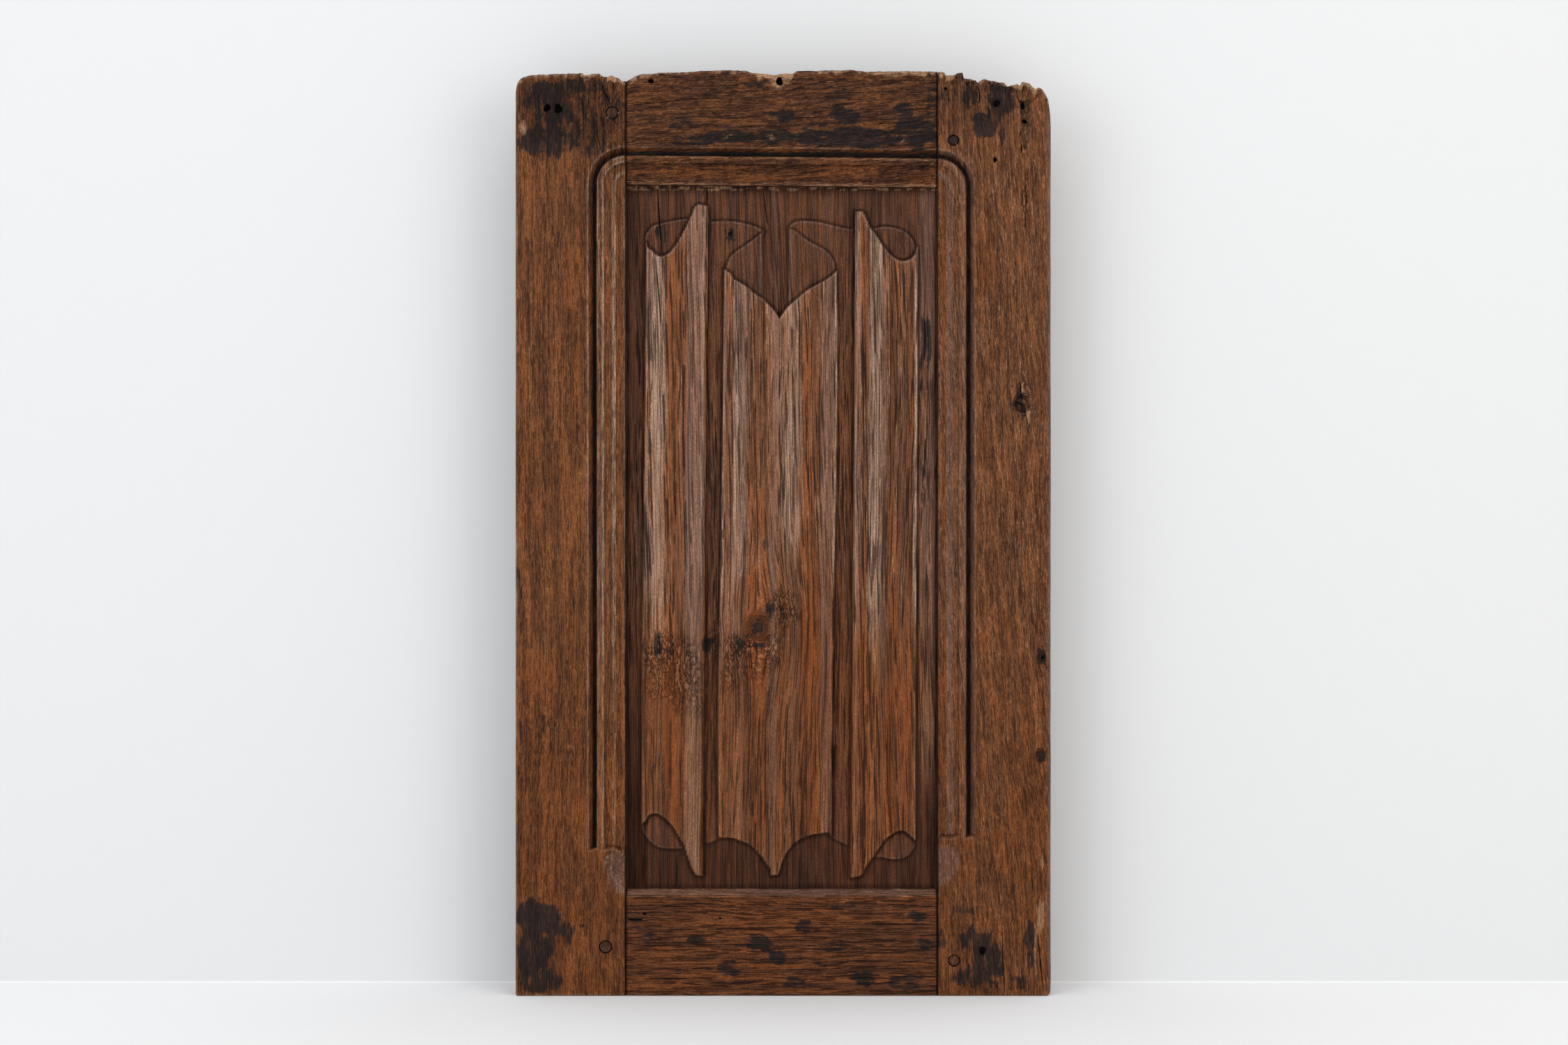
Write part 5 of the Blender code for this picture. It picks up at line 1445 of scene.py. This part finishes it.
def make_board():
    """The carved board."""
    left, right = OPENING_LEFT - BOARD_REACH, OPENING_RIGHT + BOARD_REACH
    bottom, top = OPENING_BOTTOM - BOARD_REACH, OPENING_TOP + BOARD_REACH
    arrises = [18.7, 74.5, 78.9, 95.5, 151.0, 206.2, 225.6, 229.5, 287.3]
    columns = spaced(left, right, 262, [
        (OPENING_LEFT + place * MM, 0.0035, 1.6) for place in arrises
    ])
    tall = top - bottom
    rows = spaced(0.0, 1.0, 352, [
        ((OPENING_TOP - 0.075 - bottom) / tall, 0.066 / tall, 5.0),
        ((OPENING_BOTTOM + 0.044 - bottom) / tall, 0.038 / tall, 5.0),
    ])
    relief = Relief(columns, rows, lambda x: np.full_like(x, bottom), lambda x: np.full_like(x, top))
    x, z = relief.x, relief.z
    height, fold_edge, rims, under, cloth = carve_board(x, z)
    grain = rough_noise(x, z, 0.0034, 0.090, 93) * 0.00012
    swell = rough_noise(x, z, 0.030, 0.200, 95) * 0.00022
    inside_rim = soft_step(np.minimum(np.minimum(x - left, right - x),
                                      np.minimum(z - bottom, top - z)), 0.008, 0.011)
    gnarled = patches(x, z, BOARD_GNARLED, 480)
    lumps = rough_noise(x, z, 0.0036, 0.0065, 97) * 0.00055 * gnarled
    relief.y = GROUND - np.minimum((height + grain + swell + lumps) * inside_rim, HIGHEST)
    fields = base_fields(relief, 0.0030, 0.0011)
    # Painted shade with grime on the sunk ground: darker near the ends and low down, lighter on the cloth,
    # darker left of the left fold and lighter right of the right fold; a painted shadow line under each
    # carved outline, and painted shadow within 6 mm of the frame.
    ground = soft_step(-fold_edge, 0.0, 0.0015)
    ends = np.minimum(z - OPENING_BOTTOM, OPENING_TOP - z)
    rim = 1 - soft_step(np.minimum(from_ends(x), ends), 0.0, 0.006)
    far = 1 - soft_step(ends, 0.085, 0.150)
    low = soft_step(-z, -OPENING_BOTTOM - 0.16, -OPENING_BOTTOM - 0.06)
    at_right = soft_step(x, OPENING_RIGHT - 0.020, OPENING_RIGHT - 0.016) * (1 - low)
    at_left = soft_step(-x, -OPENING_LEFT - 0.021, -OPENING_LEFT - 0.018)
    shade_and_grime = ground * (0.44 + 0.10 * far + 0.24 * low - cloth * far * (0.12 + 0.22 * low)
                     + 0.22 * at_left - 0.24 * at_right) + under * 0.75 + rim * 0.35
    # Painted shadow in the gaps at the opening's sides, then a dark patch and rings round the knot.
    shade_and_grime = shade_and_grime + 0.8 * soft_step(-from_ends(x), -0.0030, -0.0012)
    shade_and_grime = shade_and_grime + 0.30 * patch(x, z, spot(240, 367), 15, 17, seed=134, ragged=0.2)
    knot = spot(240.0, 366.0)
    eye = np.hypot(x - knot[0], (z - knot[1]) / 1.2) / MM + rough_noise(x, z, 0.007, 0.007, 137) * 2.5
    for radius, strength in ((5.5, 0.45), (9.0, 0.35), (13.0, 0.30)):
        shade_and_grime = shade_and_grime + strength * np.exp(-((eye - radius) / 1.1) ** 2)
    # Painted shadow under the top rail.
    shade_and_grime = shade_and_grime + 0.30 * soft_step(z, OPENING_TOP - 0.013, OPENING_TOP - 0.001)
    add_dirt_and_shade(fields, shade_and_grime)
    place = from_left(x, z)
    folded = soft_step(fold_edge, -0.0015, 0.0005)
    lift = 0.06 * soft_step(x, spot(245, 0)[0], spot(262, 0)[0])
    lift = lift * soft_step(-x, -spot(330, 0)[0], -spot(314, 0)[0])
    upper = soft_step(z - lift + rough_noise(x, z, 0.02, 0.06, 129) * 0.05,
                      OPENING_BOTTOM + 0.19, OPENING_BOTTOM + 0.32)
    # Bands across the folds: painted highlight with wear, painted cool sheen and warm clean wood; the
    # first two weaker low down.
    for key, bands, seed, least in (("cream_wear_and_sheen", BOARD_WEAR_AND_SHEEN, 161, 0.10),
                                    ("grey_sheen", BOARD_GREY_SHEEN, 165, 0.30), ("rusty", BOARD_RUSTY, 169, 1.0)):
        strength = banded(place, bands, x, z, 1.0, seed) * (least + (1 - least) * upper)
        patchy = 0.85 + 0.55 * rough_noise(x, z, 0.014, 0.10, seed + 2)
        fields[key] = np.clip(strength * patchy * (folded + (key == "grey_sheen") * 0.6), 0.0, 1.0)
    # The ground right of the right fold is paler.
    fields["cream_wear_and_sheen"] = np.maximum(fields["cream_wear_and_sheen"], 0.20 * at_right)
    fields["plain"] = ground * (0.35 + 0.55 * np.maximum(far, low))
    fields["ruddy"] = np.clip(1.1 * (1 - upper) * (1 - 0.5 * ground), 0.0, 1.0)
    # Painted sheen on the left fold's flank; low down the painted cool sheen also goes into the film
    # colour, and the ground gets a thin film.
    flank = soft_step(place, 60.0, 63.0) * (1 - soft_step(place, 74.0, 76.0)) * folded
    fields["film_and_sheen"] = np.clip(fields["grey_sheen"] * (1 - upper) * folded * 1.4, 0.0, 0.8)
    fields["film_and_sheen"] = np.maximum(fields["film_and_sheen"], 0.25 * fields["plain"] * (1 - at_left))
    fields["cream_wear_and_sheen"] = np.maximum(fields["cream_wear_and_sheen"], 0.45 * flank * (0.5 + 0.5 * (1 - upper)))
    fields["gnarled"] = gnarled
    # Painted highlight along the carved edges, as wear and as cool sheen.
    lit = rims * (0.35 + 0.35 * soft_noise(x, z, 0.012, 0.012, 131)) * (0.6 + 0.4 * upper)
    fields["worn"] = np.clip(fields["worn"] * (0.45 + 0.55 * upper) + lit, 0.0, 1.0)
    fields["grey_sheen"] = np.maximum(fields["grey_sheen"], rims * (0.10 + 0.80 * upper))
    round_knot = patch(x, z, spot(236, 386), 20, 42, seed=133)
    calm = (0.25 + 0.5 * (place < 85)) * (1 - upper) + 0.55 * round_knot
    for key in ("cream_wear_and_sheen", "grey_sheen"):
        fields[key] = fields[key] * (1 - 0.75 * round_knot)
    fields["plain"] = np.maximum(fields["plain"], 0.8 * round_knot)
    fields["calm"] = np.clip(calm + 0.8 * fields["grey_sheen"] * folded + 0.9 * ground * far, 0.0, 1.0)
    dusty = soft_step(z, OPENING_TOP - 0.0048, OPENING_TOP - 0.0020)
    fields["pale"] = dusty * np.clip(0.12 + rough_noise(x, z, 0.006, 0.002, 135), 0.0, 0.5)
    fields["stain"] = patches(x, z, BOARD_STAINS, 460)
    knots = [(knot, 0.013, 0.034), (spot(189.6, 350), 0.003, 0.012)]
    back_rows = [(TONGUE_BACK, 0.0), (TONGUE_BACK, BOARD_RIM),
                 (TONGUE_BACK + BOARD_SWELL, BOARD_RIM + BOARD_BEVEL)]
    make_piece("carved_board", "linenfold_board", relief, fields,
               upright_grain(-0.006, knots, 65), back_rows, BOARD_OAK, [], BOARD_CRACKS, BOARD_HOLES)


def make_pegs():
    """The four riven pegs, with worn and slightly domed ends."""
    for index, (node, _, width, stain) in enumerate(PEGS):
        x, z = peg_middle(node)
        low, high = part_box(node)
        radius = width / 2 - 0.0002
        bpy.ops.mesh.primitive_cone_add(
            vertices=18, radius1=radius, radius2=radius * 0.92, depth=high.y - low.y - 0.0004,
            location=(x, (low.y + high.y) / 2, z), rotation=(-math.pi / 2, 0, 0),
        )
        piece = bpy.context.object
        piece.name = node + "_worn"
        bpy.ops.object.transform_apply(location=True, rotation=True, scale=True)
        bpy.ops.object.mode_set(mode="EDIT")
        bpy.ops.mesh.select_mode(type="FACE")
        bpy.ops.mesh.select_all(action="DESELECT")
        bpy.ops.object.mode_set(mode="OBJECT")
        for face in piece.data.polygons:
            face.select = abs(face.normal.y) > 0.9
        bpy.ops.object.mode_set(mode="EDIT")
        for thickness in (PEG_ARRIS, radius * 0.35, radius * 0.30):
            bpy.ops.mesh.inset(thickness=thickness, depth=0.0)
        bpy.ops.object.mode_set(mode="OBJECT")
        rng = np.random.default_rng(200 + index)
        for vertex in piece.data.vertices:
            reach = math.hypot(vertex.co.x - x, vertex.co.z - z) / radius
            if vertex.co.y < (low.y + high.y) / 2:
                worn = PEG_ARRIS if reach > 0.93 else 0.0
                vertex.co.y += worn + float(rng.uniform(0.0, PEG_ARRIS / 2))
            squash = 1 - 0.05 * abs(math.sin(3 * math.atan2(vertex.co.z - z, vertex.co.x - x)))
            vertex.co.x = x + (vertex.co.x - x) * squash
            vertex.co.z = z + (vertex.co.z - z) * squash
        only(piece)
        bpy.ops.object.shade_smooth_by_angle(angle=0.6)
        px, py, pz = vertex_places(piece.data)
        none = np.zeros_like(px)
        rim = soft_step(np.hypot(px - x, pz - z), radius * 0.75, radius) * 0.6
        store(piece.data, "marks", [none + stain, none, rim, none])
        store(piece.data, "bands", [none, none, none, none])
        store(piece.data, "grain", [px, pz, py], "FLOAT_VECTOR", "vector")
        piece.data.materials.append(PEG_OAK)
        hand_over(piece, node)


make_left_stile()
make_right_stile()
make_top_rail()
make_bottom_rail()
make_board()
make_pegs()


# Surroundings: a pale floor and wall, soft light from both sides

WALL_DISTANCE = 0.055


def backdrop():
    """A floor that turns up into a wall behind the panel."""
    made = Finish("backdrop")
    height = made.channels(made.add("ShaderNodeTexCoord", {}, output=3))[2]
    tone = made.mix(height.between(BOTTOM, BOTTOM + 0.002), (0.88, 0.88, 0.88), (0.715, 0.72, 0.725))
    made.feed(made.shader.inputs["Base Color"], tone)
    made.shader.inputs["Roughness"].default_value = 0.9
    bpy.ops.mesh.primitive_plane_add(size=12, location=(0, WALL_DISTANCE - 6, BOTTOM - 0.0002))
    floor = bpy.context.object
    floor.name = "floor"
    bpy.ops.object.transform_apply(location=True, rotation=True, scale=True)
    bpy.ops.object.mode_set(mode="EDIT")
    bpy.ops.mesh.select_mode(type="EDGE")
    bpy.ops.mesh.select_all(action="DESELECT")
    bpy.ops.object.mode_set(mode="OBJECT")
    for edge in floor.data.edges:
        ends = [floor.data.vertices[index].co.y for index in edge.vertices]
        edge.select = min(ends) > WALL_DISTANCE - 0.01
    bpy.ops.object.mode_set(mode="EDIT")
    bpy.ops.mesh.extrude_edges_move(TRANSFORM_OT_translate={"value": (0, 0, 5)})
    bpy.ops.object.mode_set(mode="OBJECT")
    floor.data.materials.append(made.material)


def softbox(name, place, size, power, colour):
    """A large soft light that faces the panel."""
    light = bpy.data.lights.new(name, "AREA")
    light.shape = "RECTANGLE"
    light.size, light.size_y = size
    light.energy = power
    light.color = colour
    made = bpy.data.objects.new(name, light)
    made.location = place
    made.rotation_euler = (Vector((0, 0, -0.4)) - Vector(place)).to_track_quat("-Z", "Y").to_euler()
    bpy.context.scene.collection.objects.link(made)


backdrop()
softbox("left_window", (-2.3, -2.8, 0.4), (2.2, 2.8), 33, (0.88, 0.94, 1.0))
softbox("right_lamp", (2.3, -2.8, 0.2), (1.8, 2.6), 31, (1.0, 0.94, 0.86))
softbox("overhead", (0.0, -2.2, 2.6), (3.4, 1.8), 37, (1.0, 0.99, 0.98))

world = bpy.data.worlds.new("studio")
world.use_nodes = True
world.node_tree.nodes["Background"].inputs["Color"].default_value = (0.97, 0.98, 1.0, 1.0)
world.node_tree.nodes["Background"].inputs["Strength"].default_value = 0.70
bpy.context.scene.world = world
bpy.context.scene.view_settings.view_transform = "Standard"

# Camera: straight in front, level with the photograph's middle
CAMERA_DISTANCE = 3.0
PHOTO_WIDTH = 2250 * 0.692 * MM
camera_data = bpy.data.cameras.new("camera")
camera_data.sensor_width = 36.0
camera_data.lens = 36.0 * CAMERA_DISTANCE / PHOTO_WIDTH
camera = bpy.data.objects.new("camera", camera_data)
camera.location = (0.0007, FRONT - CAMERA_DISTANCE, BOTTOM + 0.4702)
camera.rotation_euler = (math.pi / 2, 0, 0)
bpy.context.scene.collection.objects.link(camera)
bpy.context.scene.camera = camera
